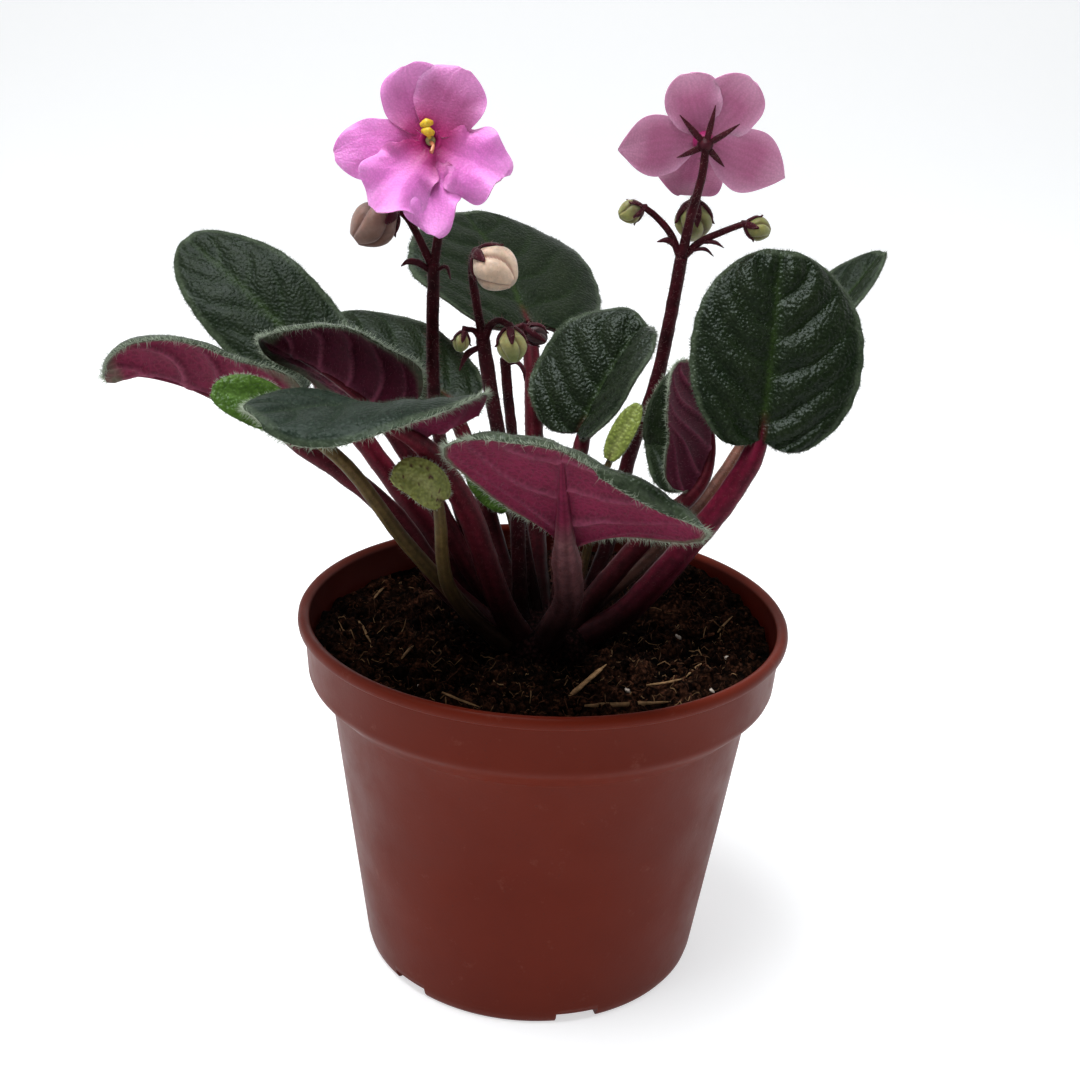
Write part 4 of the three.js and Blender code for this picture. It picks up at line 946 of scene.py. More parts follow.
def petal(build, flower, frame, part, number):
    rise = math.tan(math.radians(part["bend"]))
    length = part["length"]
    places = [(THROAT_RADIUS * 0.7, 0), (length * 0.5, 0.35), (length, 1)]
    rib = [flower_point(frame, part["angle"], r, share * length * rise + part["layer"] * min(1, r / 6))
           for r, share in places]
    shape = dict(rib=rib, face=frame[3], half=(part["half"], part["half"]), fold=((8, 0), (8, 0)), bend=0,
                 roll=15, wave=0.3, ruffle=part["ruffle"], turn=number * 1.7)
    outline = pointed_outline if part.get("pointed") else petal_outline
    grid, u, v = blade_grid(shape, PETAL_ROWS, PETAL_COLUMNS, outline)
    grid = frill(grid, u, v, part, number, frame[3])
    normal = grid_normals(grid)
    streak = np.sin(v * 26 + 2 * noise(grid, 3, number)) * np.clip(1.2 - np.abs(v), 0, 1)
    relief = STREAK_HEIGHT * streak + CREASE_HEIGHT * noise(grid, 2.4, 30 + number)
    thick = mix(PETAL_THICKNESS, PETAL_EDGE, np.abs(v) ** 4)
    colours = petal_colours(flower, part, u, v, grid, streak, number)
    add_skins(build, grid, normal, thick / 2 + relief, thick / 2 - relief, colours)


def frill(grid, u, v, part, number, ahead):
    """Waves a petal's edge to and fro and in and out, and lays soft folds along it."""
    width = np.array([petal_outline(each) for each in u[:, 0]])[:, None]
    around = np.arctan2(v * width * part["half"], (u - 0.35) * part["length"])
    edge = np.clip(np.maximum(np.abs(v) ** 2.5, (u - 0.55) / 0.45), 0, 1) * np.clip(u * 4, 0, 1)
    waves = np.sin(around * 5 + number * 1.3) + 0.5 * np.sin(around * 11 + number * 2.1)
    folds = np.sin(v * 5.2 + number) * np.sin(np.pi * u)
    push = part["ruffle"] * (RUFFLE_FORWARD * edge * waves + PETAL_FOLD * folds)
    centre = grid[int(len(grid) * 0.4), grid.shape[1] // 2]
    in_out = part["ruffle"] * RUFFLE_OUTWARD * edge * np.sin(around * 7 + number * 0.7)
    return grid + (grid - centre) * in_out[..., None] + ahead * push[..., None]


def petal_colours(flower, part, u, v, grid, streak, number):
    """The tints of a petal's face and back."""
    pale = flower["pale"]
    body = tint("petal_pale" if pale else "petal")
    # Painted shade: each petal is darkened towards a dim tint by its own share.
    body = mix(body, tint("petal_painted_shade"), part["painted_shade"])
    rim = tint("petal_pale_edge" if pale else "petal_edge")
    outward = np.clip(np.maximum(np.abs(v) ** 3, (u - 0.6) / 0.4), 0, 1)[..., None]
    cloud = noise(grid, 4, 50 + number)
    colour = mix(body, rim, outward * 0.6 + 0.12 * cloud[..., None])
    deep = np.exp(-((u / 0.33) ** 2)) * (0.6 if pale else 1)
    colour = mix(colour, tint("throat"), np.clip(deep, 0, 1)[..., None])
    colour = colour * (1 + 0.05 * streak + 0.06 * cloud)[..., None]
    back = mix(tint("petal_pale"), tint("petal_pale_edge"), np.clip(outward + 0.2 * cloud[..., None], 0, 1))
    return colour, back * (1 + 0.06 * streak)[..., None]


def along_axis(frame, profile, segments):
    """Rings of a profile of radius and height, turned about the flower's own axis."""
    centre, right, up, ahead = frame
    angles = 2 * np.pi * np.arange(segments) / segments
    spokes = np.outer(np.cos(angles), right) + np.outer(np.sin(angles), up)
    return np.array([centre + r * spokes + z * ahead for r, z in profile])


def corolla(flower):
    build = Build()
    frame = flower_frame(flower)
    for number, part in enumerate(flower["petals"]):
        petal(build, flower, frame, part, number)
    add_tube(build, along_axis(frame, TUBE, 32), tint("throat"))
    return build.piece(flower["name"] + "_corolla", [PETAL])


def anthers(flower):
    """Two bean-shaped anthers, their filament, the ovary and the style."""
    build = Build()
    frame = flower_frame(flower)
    centre, right, up, ahead = frame

    def at(x, y, z):
        return centre + x * right + y * up + z * ahead

    foot = tube_grid([at(0, 0, -0.2), at(0, 0, 0.5), at(0, 0, 1.1)], [0.9, 1.0, 0.4], 16, 0.2)
    add_tube(build, foot, tint("ovary"), 1)
    style = tube_grid([at(0, -0.2, 0.6), at(0.6, -1.4, 2.4), at(0.3, -2.8, 3.2)], [0.4, 0.35, 0.4], 12, 0.2)
    add_tube(build, style, tint("style"), 1)
    filament = tube_grid([at(0, 0, 0.5), at(-0.4, 1.2, 1.3), at(-0.7, 2.2, 1.7)], [0.45, 0.4, 0.4], 10, 0.2)
    add_tube(build, filament, tint("anther") * 0.8)
    for x, y, tilt in ANTHERS:
        ends = [at(x - 1.15, y - tilt, 1.6), at(x, y, 2.1), at(x + 1.15, y + tilt, 1.6)]
        bean = tube_grid(ends, [0.45, 1.0, 0.45], 20, 0.12, wobble=0.08, seed=4)
        add_tube(build, bean, tint("anther"))
    return build.piece(flower["name"] + "_anthers_fine", [ANTHER, OVARY])


def bud_frame(bud):
    axis = unit(bud["axis"])
    across = unit(np.cross([0.2, 1, 0.1], axis))
    return axis, across, np.cross(axis, across)


def bud_radius(bud, t):
    return bud["radius"] * np.sin(np.pi * (0.1 + 0.84 * t)) ** 0.7


def bud_point(bud, frame, t, angle, radius):
    axis, across, over = frame
    point = np.array(bud["base"], float) + axis * (GAP + t * bud["length"])
    return point + radius * (math.cos(angle) * across + math.sin(angle) * over)


def bud_colours(bud, grid, crease_shade, ts):
    """A bud's mottled tint, darkened by painted shade where its petals fold in, with reddish patches or a
    green tip on some.
    """
    base = tint(bud["tint"])
    mottle = 0.5 + 0.5 * noise(grid, 2.5, 9)
    colour = base * mix(0.75, 1.2, mottle)[..., None]
    # Painted shade: the bud goes dark brown where its petals fold in.
    colour = mix(colour, base * (0.45, 0.28, 0.28), crease_shade[..., None] ** 2 * 0.85)
    if bud["tint"] == "olive_bud":
        patch = np.clip(1.4 * noise(grid, 2.2, 15) - 0.3, 0, 1)[..., None]
        colour = mix(colour, tint("sepal"), patch * 0.6)
    if bud["tint"] == "green_bud":
        tip = np.clip((ts - 0.55) * 2.5, 0, 1)[:, None, None]
        colour = mix(colour, tint("young_high") * 1.3, tip * 0.6)
    return colour


def bud_body(bud):
    """A closed bud whose petals lap over one another."""
    build = Build()
    frame = bud_frame(bud)
    angles = 2 * np.pi * np.arange(BUD_SIDES) / BUD_SIDES
    ts = (1 - np.cos(np.pi * np.linspace(0, 1, BUD_ROWS))) / 2
    grid = np.zeros((BUD_ROWS, BUD_SIDES, 3))
    crease_shade = np.zeros((BUD_ROWS, BUD_SIDES))
    for i, t in enumerate(ts):
        turn = (angles * BUD_LAPS / (2 * np.pi) + 0.7 * t + 0.2 * math.sin(3 * t)) % 1
        fold = np.exp(-((np.minimum(turn, 1 - turn) / LAP_WIDTH) ** 2)) * min(1, t * 4)
        lap = (LAP_DEPTH * np.sin(math.pi * turn) - LAP_DEPTH * fold + 0.05 * turn) * min(1, t * 4) - 0.05
        radius = bud_radius(bud, t) * (1 + lap)
        crease_shade[i] = fold
        for k, angle in enumerate(angles):
            grid[i, k] = bud_point(bud, frame, t, angle, radius[k])
    add_tube(build, grid, bud_colours(bud, grid, crease_shade, ts))
    rng = np.random.default_rng(len(bud["name"]))
    count = int(BUD_HAIRS * bud["radius"] * bud["length"])
    stand_hairs(build, grid, count, BUD_HAIR, rng, tint("hair_stem"), BUD_HAIR_RADIUS)
    return build.piece(bud["name"] + "_fine", [BUD, HAIR])


def bud_calyx(build, bud, rng):
    """The knob that a bud sits on and the five sepals that hold it."""
    frame = bud_frame(bud)
    end = bud_radius(bud, 0) * 1.05
    knob = [bud_point(bud, frame, z / bud["length"], 0, 0) for z in (-1.6, -0.8, 0.1)]
    add_tube(build, tube_grid(knob, [0.6, end * 0.75, end], 20, 0.2), tint("sepal"))
    width = 0.22 * bud["radius"] + 0.22
    for k in range(5):
        angle = 2 * math.pi * (k + 0.5) / 5
        path = []
        for share, _ in BUD_SEPAL:
            t = share * bud["cover"] - 0.5 / bud["length"]
            reach = bud_radius(bud, max(t, 0)) * 1.04 + 0.22
            if share == 0:
                reach *= 0.6
            path.append(bud_point(bud, frame, t, angle, reach + (0.5 if share > 1 else 0)))
        grid = tube_grid(path, [max(width * part, SEPAL_TIP) for _, part in BUD_SEPAL], 10, 0.25)
        out = unit(grid.mean(axis=1, keepdims=True) - bud_point(bud, frame, 0.4, 0, 0))
        grid = flatten(grid, out, 0.6)
        add_tube(build, grid, tint("sepal"))
        count = int(BUD_SEPAL_HAIRS * bud["radius"])
        stand_hairs(build, grid, count, CALYX_HAIR, rng, tint("hair_stem") * 1.4)


def calyx(build, flower, rng):
    """The green cup behind a flower and its five pointed sepals."""
    frame = flower_frame(flower)
    back = -TUBE_LENGTH - GAP
    cup = [(radius, back + z) for radius, z in CUP]
    add_tube(build, along_axis(frame, cup, 24), tint("sepal"))
    for angle in flower["sepals"]:
        share = LOWER_SEPAL if angle > 200 else 1
        path = [flower_point(frame, angle, r * share, back + z) for r, z in SEPAL]
        grid = flatten(tube_grid(path, SEPAL_GIRTH, 12, 0.25), frame[3], 0.55)
        add_tube(build, grid, tint("sepal"))
        stand_hairs(build, grid, SEPAL_HAIRS, SEPAL_HAIR, rng, tint("hair_stem"))


def knob_point(name):
    for flower in FLOWERS:
        if flower["name"] == name:
            return flower_point(flower_frame(flower), 0, 0, -TUBE_LENGTH - GAP - FLOWER_KNOB)
    bud = next(each for each in BUDS if each["name"] == name)
    return bud_point(bud, bud_frame(bud), -BUD_KNOB / bud["length"], 0, 0)


def flower_stalk(stalk, seed):
    build = Build()
    rng = np.random.default_rng(seed)
    for number, branch in enumerate(stalk["branches"]):
        path = [np.array(p, float) for p in branch["path"]]
        if "to" in branch:
            path.append(knob_point(branch["to"]))
        last = len(path) - 1
        radii = [mix(branch["girth"][0], branch["girth"][1], i / last) for i in range(last + 1)]
        grid = tube_grid(path, radii, STEM_SIDES, STEM_STEP, wobble=0.06, seed=seed + number)
        spots = 1 + 0.5 * noise(grid, 2.0, 12)[..., None]
        # Painted shade darkens the stalk towards the crown.
        add_tube(build, grid, tint("stem") * spots * out_of_crown(grid[..., 2:]))
        count = int(len(grid) * STEM_STEP * 2 * math.pi * branch["girth"][0] * STEM_HAIRS)
        stand_hairs(build, grid, count, STEM_HAIR, rng, tint("hair_stem"))
    for path in stalk["bracts"]:
        radii = BRACT_GIRTH[: len(path) - 1] + BRACT_GIRTH[-1:]
        grid = tube_grid(path, radii, 12, 0.3, squash=0.6)
        add_tube(build, grid, tint("sepal"))
        stand_hairs(build, grid, BRACT_HAIRS, SEPAL_HAIR, rng, tint("hair_stem"))
    carried = [branch.get("to") for branch in stalk["branches"]]
    for flower in FLOWERS:
        if flower["name"] in carried:
            calyx(build, flower, rng)
    for bud in BUDS:
        if bud["name"] in carried:
            bud_calyx(build, bud, rng)
    return build.piece(stalk["name"] + "_fine", [STALK, HAIR])


def soil_height(x, y):
    heap = 4 * np.exp(-((x - 34) ** 2 + (y - 32) ** 2) / 420)
    dip = 1.8 * np.exp(-((x + 38) ** 2 + (y - 22) ** 2) / 500)
    hollow = 4.2 * np.exp(-(x * x + y * y) / 440)
    crumbs = 0.5 * np.sin(x * 0.55 + 1) * np.cos(y * 0.6) + 0.35 * np.sin(x * 1.1 - y * 0.9)
    return SOIL_LEVEL + heap - dip - hollow + crumbs


def clods(x, y):
    """The small ups and downs of the soil."""
    flat = np.stack([x, y, np.zeros_like(x)], axis=-1)
    lumps = 1.1 * noise(flat, 7, 1) + 0.9 * noise(flat, 3.2, 2) + 1.2 * np.abs(noise(flat, 1.9, 3))
    fine = 0.9 * np.abs(noise(flat, 1.1, 4)) + 0.4 * noise(flat, 0.7, 9)
    fade = np.clip((SOIL_RADIUS - np.hypot(x, y)) / 3, 0.25, 1)
    return (lumps + fine) * fade


def rough_height(x, y):
    return soil_height(x, y) - 0.9 + clods(x, y)


def painted_crown_shadow(points):
    """Darkens the soil near the crown with a painted shadow, where the leaves shade it."""
    radius = np.hypot(points[..., 0], points[..., 1])
    return mix(CROWN_SHADOW_DARKEST, 1, np.clip((radius - CROWN_RADIUS) / CROWN_SHADOW_REACH, 0, 1))[..., None]


def soil():
    build = Build()
    rng = np.random.default_rng(SOIL_SEED)
    radii = np.linspace(3, SOIL_RADIUS, SOIL_RINGS)
    angles = 2 * np.pi * np.arange(SOIL_SECTORS) / SOIL_SECTORS
    radius, angle = np.meshgrid(radii, angles, indexing="ij")
    x, y = radius * np.cos(angle), radius * np.sin(angle)
    z = rough_height(x, y)
    surface = np.stack([x, y, z], axis=-1)
    ring = np.stack([np.cos(angles), np.sin(angles)], axis=1)
    walls = np.array([np.column_stack([ring * r, np.full(SOIL_SECTORS, h)]) for r, h in SOIL_SKIRT])
    grid = np.vstack([surface, walls])[::-1]
    dry = np.clip(0.3 + 0.5 * noise(grid, 2.5, 6) + 0.35 * noise(grid, 0.9, 7), 0, 1)[..., None]
    # Painted shade: the soil is darker in the hollows between the clods and lighter on their tops.
    raised = np.clip(0.25 + 0.65 * clods(grid[..., 0], grid[..., 1]), 0.12, 2.2)[..., None]
    # The soil darkens near the crown with the painted shadow.
    add_tube(build, grid, mix(tint("peat"), tint("peat_brown"), dry) * painted_crown_shadow(grid) * raised)
    for each in CRUMBS:
        crumbs(build, rng, *each)
    for each in FIBRES:
        fibres(build, rng, *each)
    for start, end, size in STRAWS:
        straw(build, np.array(start, float), np.array(end, float), size, rng)
    for px, py, size in GRITS:
        pz = float(rough_height(np.array(px), np.array(py))) + size * 0.4
        lump(build, np.array([[px, py, pz]]), np.array([size]), tint("grit")[None], rng, 1, 1)
    return build.piece("soil_fine", [PEAT, STRAW])


def icosphere(level):
    source = bmesh.new()
    bmesh.ops.create_icosphere(source, subdivisions=level, radius=1)
    points = np.array([v.co[:] for v in source.verts])
    faces = np.array([[v.index for v in f.verts] for f in source.faces])
    source.free()
    return points, faces


def lump(build, centres, sizes, colours, rng, level, kind=0):
    """Adds a rough lump at each centre."""
    points, faces = icosphere(level + 1)
    count = len(centres)
    stretch = rng.uniform(0.5, 1.4, (count, 1, 3)) * (1, 1, 0.7)
    knock = 1 + rng.uniform(-0.4, 0.4, (count, len(points), 1))
    turn = unit(rng.normal(0, 1, (count, 3)))
    shaped = points[None] * stretch * knock * sizes[:, None, None]
    shaped = shaped + np.cross(turn[:, None], shaped) * 0.6
    first = len(points) * np.arange(count)[:, None, None]
    build.add(shaped + centres[:, None], (faces[None] + first).reshape(-1, 3), colours[:, None], kind)


def crumbs(build, rng, count, low, high, level):
    radius = np.sqrt(rng.uniform(0.03, 1, count)) * (SOIL_RADIUS - SOIL_MARGIN)
    angle = rng.uniform(0, 2 * np.pi, count)
    x, y = radius * np.cos(angle), radius * np.sin(angle)
    size = rng.uniform(low, high, count)
    z = rough_height(x, y) + size * 0.25
    share = rng.random((count, 1)) ** 1.5
    # The crumbs darken near the crown with the painted shadow.
    colours = mix(tint("peat") * 0.8, tint("peat_brown") * 1.3, share) * painted_crown_shadow(np.column_stack([x, y]))
    lump(build, np.column_stack([x, y, z]), size, colours, rng, level)


def straw(build, start, end, size, rng):
    """A straw or splinter lying on the soil."""
    steps = np.linspace(0, 1, 7)[:, None]
    plan = mix(start, end, steps)
    sway = np.array([-(end - start)[1], (end - start)[0]]) * 0.03 * rng.normal()
    plan = plan + np.sin(steps * math.pi) * sway
    z = rough_height(plan[:, 0], plan[:, 1])
    chord = mix(max(z[0], z[1]), max(z[-1], z[-2]), steps[:, 0]) + 0.5
    path = np.column_stack([plan, np.maximum(chord, z - size)])
    radii = [size * 0.5, size, size, size * 0.9, size, size * 0.7, size * 0.2]
    grid = tube_grid(path, radii, 8, 0.8, wobble=0.2, seed=int(abs(start[0]) + 3), squash=0.6)
    add_tube(build, grid, tint("straw") * rng.uniform(0.6, 1.05), 1)


def fibres(build, rng, count, lengths, sizes, darkness):
    """Fine fibres and root hairs lying on the soil, as bent three-sided threads."""
    radius = np.sqrt(rng.uniform(0.04, 1, count)) * (SOIL_RADIUS - SOIL_MARGIN - lengths[1])
    angle = rng.uniform(0, 2 * np.pi, count)
    heading = rng.uniform(0, 2 * np.pi, count)
    length = rng.uniform(*lengths, count)
    bend = rng.normal(0, 0.14, count)
    size = rng.uniform(*sizes, count)
    x, y = radius * np.cos(angle), radius * np.sin(angle)
    rings = []
    for k in range(FIBRE_RINGS):
        z = rough_height(x, y) + rng.uniform(0.0, 0.5, count)
        centre = np.column_stack([x, y, z])
        side = np.column_stack([-np.sin(heading), np.cos(heading), np.zeros(count)])
        thin = size * (1 if k < FIBRE_RINGS - 1 else 0.4)
        for turn in (90, 210, 330):
            lift = np.array([0, 0, math.sin(math.radians(turn))])
            rings.append(centre + thin[:, None] * (math.cos(math.radians(turn)) * side + lift))
        x = x + np.cos(heading) * length / (FIBRE_RINGS - 1)
        y = y + np.sin(heading) * length / (FIBRE_RINGS - 1)
        heading = heading + bend
    one = grid_faces(FIBRE_RINGS, 3, closed=True)
    last = 3 * FIBRE_RINGS
    ends = np.array([[2, 1, 0], [last - 3, last - 2, last - 1]])
    first = last * np.arange(count)[:, None, None]
    share = rng.random((count, 1)) ** darkness
    # The fibres darken near the crown with the painted shadow.
    shade = mix(tint("peat_brown") * 0.9, tint("straw"), share) * painted_crown_shadow(np.column_stack([x, y]))
    faces = [(one[None] + first).reshape(-1, 4), (ends[None] + first).reshape(-1, 3)]
    build.add(np.stack(rings, axis=1), faces, shade[:, None], 1)


def around(anchor, *offsets):
    """Points of a profile, set off from an anchor."""
    return [(anchor[0] + x, anchor[1] + z) for x, z in offsets]


def pot_profile():
    """The pot's outside from the pad up to the lip, and its inside from the lip down to the floor."""
    ring_inside = FOOT_RADIUS - FOOT_RING
    outside = [
        (ON_AXIS, 0),
        *around((PAD_RADIUS, 0), (-0.3, 0), (0.2, 0.3), (1, UNDERSIDE - 0.3), (1.4, UNDERSIDE)),
        *around((ring_inside, UNDERSIDE), (-0.4, 0), (0, -0.4)),
        *around((ring_inside, 0), (0, 0.3), (0.3, 0)),
        *around((FOOT_RADIUS, 0), (-0.3, 0), (0.3, 0.25), (0.9, 1.1), (1.3, 2.6)),
        *around(WALL_FOOT, (0, 0), (4.1, 30)),
        *around(SHOULDER_FOOT, (-0.06, -0.5), (0.25, 0), (1.2, 0.9)),
        *around(BAND_FOOT, (-1.1, -2.1), (-0.35, -1.2), (-0.02, -0.3), (0.03, 0.4)),
        *around(BAND_TOP, (0, -0.3), (0.15, 0.1)),
        *around((RIM_RADIUS, BAND_TOP[1]), (-0.45, 0.45), (-0.1, 0.8), (0, 1.4)),
        *around((RIM_RADIUS, POT_HEIGHT), (-0.12, -0.8), (-0.5, -0.25), (-1.0, 0), (-1.6, -0.1)),
        *around((BAND_TOP[0], POT_HEIGHT), (-0.9, -0.6), (-1.1, -1.4)),
    ]
    inside = [
        *around(BAND_FOOT, (-WALL, 0.3)),
        *around(SHOULDER_FOOT, (0.3 - WALL, 0.8), (-WALL, 0)),
        *around((WALL_FOOT[0] - WALL, FLOOR), (0, 1), (-1, 0)),
        (ON_AXIS, FLOOR),
    ]
    return outside, inside


def pot():
    """The thin-walled pot, turned, with notches in its foot ring and drain holes in its floor."""
    outside, inside = pot_profile()
    shade = np.ones((len(outside) + len(inside), POT_SEGMENTS, 3))
    # Painted shade: the inside wall and floor are darker than the outside.
    shade[len(outside) - 1 :] = POT_INSIDE_SHADE
    build = Build()
    add_lathe(build, outside + inside, POT_SEGMENTS, shade)
    whole = build.piece("pot_fine", [PLASTIC])
    cutters = []
    for k in range(NOTCH_COUNT):
        angle = math.radians(FIRST_NOTCH - 90 + 360 / NOTCH_COUNT * k)
        cutters += foot_cutters(Matrix.Rotation(angle, 4, "Z"))
    cut_away(whole, cutters)
    return whole


def foot_cutters(turn):
    """The shapes that cut one notch and one drain hole, turned to their place round the foot."""
    notch = bmesh.new()
    bmesh.ops.create_cube(notch, size=1)
    size = Vector(((2 * FOOT_RING + 6) * MM, NOTCH_WIDTH * MM, 2 * UNDERSIDE * MM))
    bmesh.ops.scale(notch, vec=size, verts=notch.verts)
    bmesh.ops.translate(notch, vec=Vector((FOOT_RADIUS * MM, 0, 0)), verts=notch.verts)
    bmesh.ops.transform(notch, matrix=turn, verts=notch.verts)
    drain = bmesh.new()
    bmesh.ops.create_cone(drain, cap_ends=True, segments=DRAIN_SIDES, radius1=DRAIN_RADIUS * MM,
                          radius2=DRAIN_RADIUS * MM, depth=DRAIN_DEPTH * MM)
    bmesh.ops.translate(drain, vec=Vector((DRAIN_CIRCLE * MM, 0, FLOOR * MM)), verts=drain.verts)
    bmesh.ops.transform(drain, matrix=turn, verts=drain.verts)
    return [notch, drain]


def cut_away(whole, cutters):
    """Cuts the shapes in cutters out of a piece."""
    joined = bmesh.new()
    for each in cutters:
        part = bpy.data.meshes.new("cutter_part")
        each.to_mesh(part)
        joined.from_mesh(part)
        each.free()
        bpy.data.meshes.remove(part)
    data = bpy.data.meshes.new("cutter")
    joined.to_mesh(data)
    joined.free()
    layer = data.attributes.new("tint", "FLOAT_COLOR", "POINT")
    layer.data.foreach_set("color", np.ones(4 * len(data.vertices)))
    tool = bpy.data.objects.new("cutter", data)
    bpy.context.scene.collection.objects.link(tool)
    change = whole.modifiers.new("cut", "BOOLEAN")
    change.operation = "DIFFERENCE"
    change.solver = "EXACT"
    change.object = tool
    bpy.context.view_layer.update()
    result = bpy.data.meshes.new_from_object(whole.evaluated_get(bpy.context.evaluated_depsgraph_get()))
    whole.modifiers.clear()
    whole.data = result
    bpy.data.objects.remove(tool)


class Paint:
    """A material with short calls for its nodes."""

    def __init__(self, name):
        self.material = bpy.data.materials.new(name)
        self.material.use_nodes = True
        self.tree = self.material.node_tree
        self.shader = self.tree.nodes["Principled BSDF"]

    def node(self, kind, inputs, **values):
        """Adds a node with its settings, and feeds its inputs."""
        made = self.tree.nodes.new(kind)
        for key, value in values.items():
            setattr(made, key, value)
        for key, value in inputs.items():
            self.feed(made.inputs[key], value)
        return made

    def feed(self, socket, value):
        """Links another socket to this one, or sets a number or colour."""
        if isinstance(value, bpy.types.NodeSocket):
            self.tree.links.new(value, socket)
        else:
            socket.default_value = value

    def set(self, **values):
        for key, value in values.items():
            self.feed(self.shader.inputs[key.replace("_", " ")], value)

    def colour(self, value):
        self.set(Base_Color=value)

    def place(self):
        return self.node("ShaderNodeTexCoord", {}).outputs["Object"]

    def tint(self):
        return self.node("ShaderNodeAttribute", {}, attribute_name="tint").outputs["Color"]

    def noise(self, scale, detail=3.0, roughness=0.6):
        inputs = dict(Vector=self.place(), Scale=scale, Detail=detail, Roughness=roughness)
        return self.node("ShaderNodeTexNoise", inputs).outputs["Fac"]

    def cells(self, scale, feature="F1"):
        inputs = dict(Vector=self.place(), Scale=scale)
        return self.node("ShaderNodeTexVoronoi", inputs, feature=feature).outputs["Distance"]

    def span(self, value, low, high, to_low, to_high):
        inputs = {"Value": value, "From Min": low, "From Max": high, "To Min": to_low, "To Max": to_high}
        return self.node("ShaderNodeMapRange", inputs).outputs["Result"]

    def shade(self, colour, factor):
        """The colour times a number from a socket."""
        made = self.node("ShaderNodeVectorMath", {0: colour, "Scale": factor}, operation="SCALE")
        return made.outputs["Vector"]

    def multiply(self, a, b):
        return self.node("ShaderNodeVectorMath", {0: a, 1: b}, operation="MULTIPLY").outputs["Vector"]

    def blend(self, factor, a, b):
        return self.node("ShaderNodeMix", {"Factor": factor, 6: a, 7: b}, data_type="RGBA").outputs[2]

    def bump(self, height, distance, strength=1.0, under=None):
        inputs = dict(Height=height, Distance=distance, Strength=strength)
        if under:
            inputs["Normal"] = under
        normal = self.node("ShaderNodeBump", inputs).outputs["Normal"]
        self.set(Normal=normal)
        return normal


def leaf_top_paint(name, smooth, rough, relief, gloss):
    paint = Paint(name)
    pebble = paint.cells(1500, "SMOOTH_F1")
    # Painted highlight and shade: each pebble is lighter on its dome and darker between, where the bump below
    # sinks.
    high = paint.span(pebble, 0.0, 0.75, 1.35, 0.7)
    paint.colour(paint.shade(paint.tint(), high))
    dome = paint.span(pebble, 0.0, 0.7, 1.0, 0.0)
    first = paint.bump(dome, 0.00026, relief)
    paint.bump(paint.noise(2600, 3), 0.00012, relief * 0.8, first)
    paint.set(Roughness=paint.span(paint.noise(260), 0.3, 0.7, smooth, rough), Specular_IOR_Level=gloss,
              Specular_Tint=(0.88, 1.0, 0.92, 1))
    return paint.material


def leaf_under_paint():
    paint = Paint("leaf_under")
    cell = paint.cells(700, "DISTANCE_TO_EDGE")
    paint.colour(paint.shade(paint.tint(), paint.span(cell, 0.0, 0.25, 1.25, 0.9)))
    paint.bump(paint.noise(1600, 4), 0.00015, 0.5)
    paint.set(Roughness=0.6, Specular_IOR_Level=0.06, Sheen_Weight=0.03, Sheen_Roughness=0.5,
              Sheen_Tint=(1.0, 0.75, 0.8, 1), Subsurface_Weight=0.1, Subsurface_Scale=0.001)
    return paint.material


def grained_paint(name, grain, spread, relief, depth, strength=0.5, **values):
    """A paint with a mottled tint and a fine grain."""
    paint = Paint(name)
    paint.colour(paint.shade(paint.tint(), paint.span(paint.noise(*grain), *spread)))
    paint.bump(paint.noise(*relief), depth, strength)
    paint.set(**values)
    return paint.material


def hair_paint():
    paint = Paint("hair")
    paint.colour(paint.tint())
    paint.set(Roughness=0.6, Specular_IOR_Level=0.1)
    return paint.material


def petal_paint():
    paint = Paint("petal")
    cell = paint.cells(2300)
    # Painted highlight: each fine cell is a little lighter on its dome and darker at its edge, where the bump
    # below sinks.
    paint.colour(paint.shade(paint.tint(), paint.span(cell, 0.0, 0.7, 1.1, 0.92)))
    first = paint.bump(paint.span(cell, 0.0, 0.7, 1.0, 0.0), 0.00010, 0.6)
    paint.bump(paint.noise(500, 4), 0.00025, 0.5, first)
    paint.set(Roughness=0.5, Specular_IOR_Level=0.3, Sheen_Weight=0.1, Sheen_Roughness=0.35,
              Subsurface_Weight=0.25, Subsurface_Scale=0.001, Subsurface_Radius=(1.0, 0.45, 0.8))
    return paint.material


def peat_paint():
    paint = Paint("peat")
    crumb = paint.cells(900)
    grain = paint.shade(paint.tint(), paint.span(paint.noise(800, 6, 0.8), 0.36, 0.66, 0.15, 2.4))
    # Painted shade and highlight: each crumb is lighter on its dome and darker at its edge, where the bump
    # below sinks.
    paint.colour(paint.shade(grain, paint.span(crumb, 0.15, 0.7, 1.4, 0.2)))
    first = paint.bump(paint.span(crumb, 0.0, 0.7, 1.0, 0.0), 0.0008, 0.8)
    paint.bump(paint.noise(1700, 5, 0.7), 0.0006, 1.0, first)
    paint.set(Roughness=0.95, Specular_IOR_Level=0.02)
    return paint.material


def plastic_paint():
    paint = Paint("pot_plastic")
    cloud = paint.span(paint.noise(30, 4), 0.3, 0.7, 0.0, 1.0)
    base = paint.blend(cloud, (0.094, 0.0095, 0.0032, 1), (0.112, 0.0125, 0.0046, 1))
    dust = paint.span(paint.noise(190, 6, 0.75), 0.60, 0.74, 0.0, 0.28)
    base = paint.blend(dust, base, (0.200, 0.075, 0.055, 1))
    speck = paint.span(paint.noise(2600, 1), 0.70, 0.74, 0.0, 0.55)
    base = paint.blend(speck, base, (0.055, 0.015, 0.011, 1))
    paint.colour(paint.multiply(base, paint.tint()))
    first = paint.bump(paint.noise(1500, 3), 0.00005, 0.5)
    paint.bump(paint.noise(60, 2), 0.0002, 0.15, first)
    paint.set(Roughness=paint.span(paint.noise(90, 4), 0.3, 0.7, 0.36, 0.50), Specular_IOR_Level=0.07)
    return paint.material


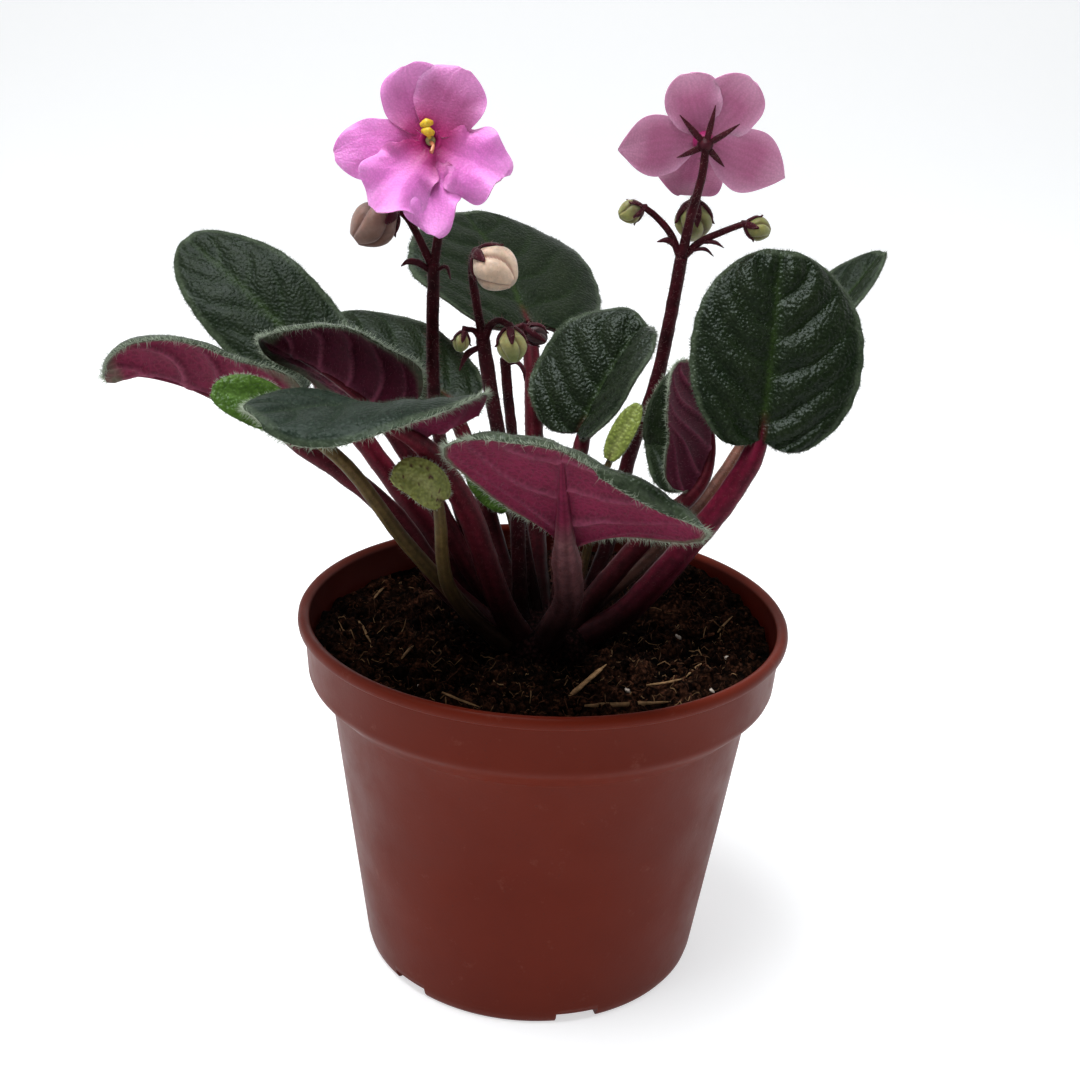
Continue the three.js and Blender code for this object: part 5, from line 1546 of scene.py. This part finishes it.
def camera():
    """The photograph's view. The scene is seen turned a little clockwise."""
    data = bpy.data.cameras.new("camera")
    data.lens = LENS
    data.sensor_width = SENSOR
    data.clip_start = 0.01
    data.clip_end = 10
    made = bpy.data.objects.new("camera", data)
    place_at = Vector(CAMERA_PLACE) * MM
    target = Vector(CAMERA_TARGET) * MM
    look = (target - place_at).to_track_quat("-Z", "Y").to_matrix().to_4x4()
    roll = Matrix.Rotation(math.radians(CAMERA_ROLL), 4, "Z")
    made.matrix_world = Matrix.Translation(place_at) @ look @ roll
    bpy.context.scene.collection.objects.link(made)
    bpy.context.scene.camera = made


def area_light(name, at, towards, size, power, colour):
    data = bpy.data.lights.new(name, "AREA")
    data.shape = "RECTANGLE"
    data.size, data.size_y = size
    data.energy = power
    data.color = colour
    made = bpy.data.objects.new(name, data)
    made.location = at
    made.rotation_euler = (Vector(towards) - Vector(at)).to_track_quat("-Z", "Y").to_euler()
    bpy.context.scene.collection.objects.link(made)


def sweep():
    """The studio's floor, which bends up into its backdrop."""
    build = Build()
    rows = [(-FLOOR_REACH, 0.0), (BACKDROP_START, 0.0)]
    for k in range(1, BACKDROP_STEPS + 1):
        angle = math.pi / 2 * k / BACKDROP_STEPS
        rows.append((BACKDROP_START + BACKDROP_BEND * math.sin(angle), BACKDROP_BEND * (1 - math.cos(angle))))
    rows.append((BACKDROP_START + BACKDROP_BEND, BACKDROP_HEIGHT))
    points = [(x, y, z) for y, z in rows for x in (-FLOOR_REACH, FLOOR_REACH)]
    build.add(points, grid_faces(len(rows), 2, flip=True), (PAPER, PAPER, PAPER))
    paint = Paint("studio_paper")
    paint.colour(paint.tint())
    paint.set(Roughness=0.9, Specular_IOR_Level=0.1, Emission_Color=(0.97, 0.985, 1.0, 1),
              Emission_Strength=PAPER_GLOW)
    return build.piece("studio_sweep", [paint.material])


def studio():
    """A pale sweep of floor and backdrop, and soft light from above, both sides and the front."""
    sweep()
    world = bpy.data.worlds.new("world")
    world.use_nodes = True
    sky = world.node_tree.nodes["Background"]
    sky.inputs["Color"].default_value = (0.96, 0.98, 1.0, 1)
    sky.inputs["Strength"].default_value = SKY_GLOW
    bpy.context.scene.world = world
    for each in LIGHTS:
        area_light(*each)
    bpy.context.scene.view_settings.view_transform = "Standard"


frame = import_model()
camera()

LEAF_TOP = leaf_top_paint("leaf_top", 0.20, 0.32, 0.75, 0.125)
LEAF_SOFT = leaf_top_paint("leaf_soft", 0.30, 0.45, 0.5, 0.08)
LEAF_UNDER = leaf_under_paint()
STALK = grained_paint("stalk", (700, 4), (0.3, 0.7, 0.7, 1.35), (1100, 3), 0.00018, Roughness=0.45,
                      Specular_IOR_Level=0.08, Subsurface_Weight=0.08, Subsurface_Scale=0.0012)
HAIR = hair_paint()
PETAL = petal_paint()
ANTHER = grained_paint("anther", (1500, 4), (0.3, 0.7, 0.75, 1.2), (2600, 3), 0.00012, 0.6, Roughness=0.5,
                       Subsurface_Weight=0.2, Subsurface_Scale=0.0008)
OVARY = grained_paint("ovary", (1800, 3), (0.3, 0.7, 0.8, 1.2), (3000, 2), 0.00008, Roughness=0.4,
                      Subsurface_Weight=0.2, Subsurface_Scale=0.0008)
BUD = grained_paint("bud", (900, 4), (0.3, 0.7, 0.82, 1.15), (1300, 3), 0.00018, Roughness=0.5,
                    Specular_IOR_Level=0.35, Sheen_Weight=0.25, Subsurface_Weight=0.2, Subsurface_Scale=0.001)
PEAT = peat_paint()
STRAW = grained_paint("straw", (600, 4), (0.35, 0.65, 0.45, 1.2), (1500, 4), 0.0002, 0.7, Roughness=0.85,
                      Specular_IOR_Level=0.05)
PLASTIC = plastic_paint()

studio()
place(pot(), "pot_plastic", "pot")
place(soil(), "soil", "soil")
place(crown(), "red_stalk", "crown_and_leaf_stalks")
for leaf in LEAVES:
    place(blade(leaf), SLOTS[leaf["top"]], leaf["name"])
for number, stalk in enumerate(FLOWER_STALKS):
    place(flower_stalk(stalk, STALK_SEED + number), "flower_stalk", stalk["name"])
for flower in FLOWERS:
    place(corolla(flower), "petal", flower["name"])
    place(anthers(flower), "anther", flower["name"] + "_anthers")
for bud in BUDS:
    place(bud_body(bud), "bud", bud["name"])
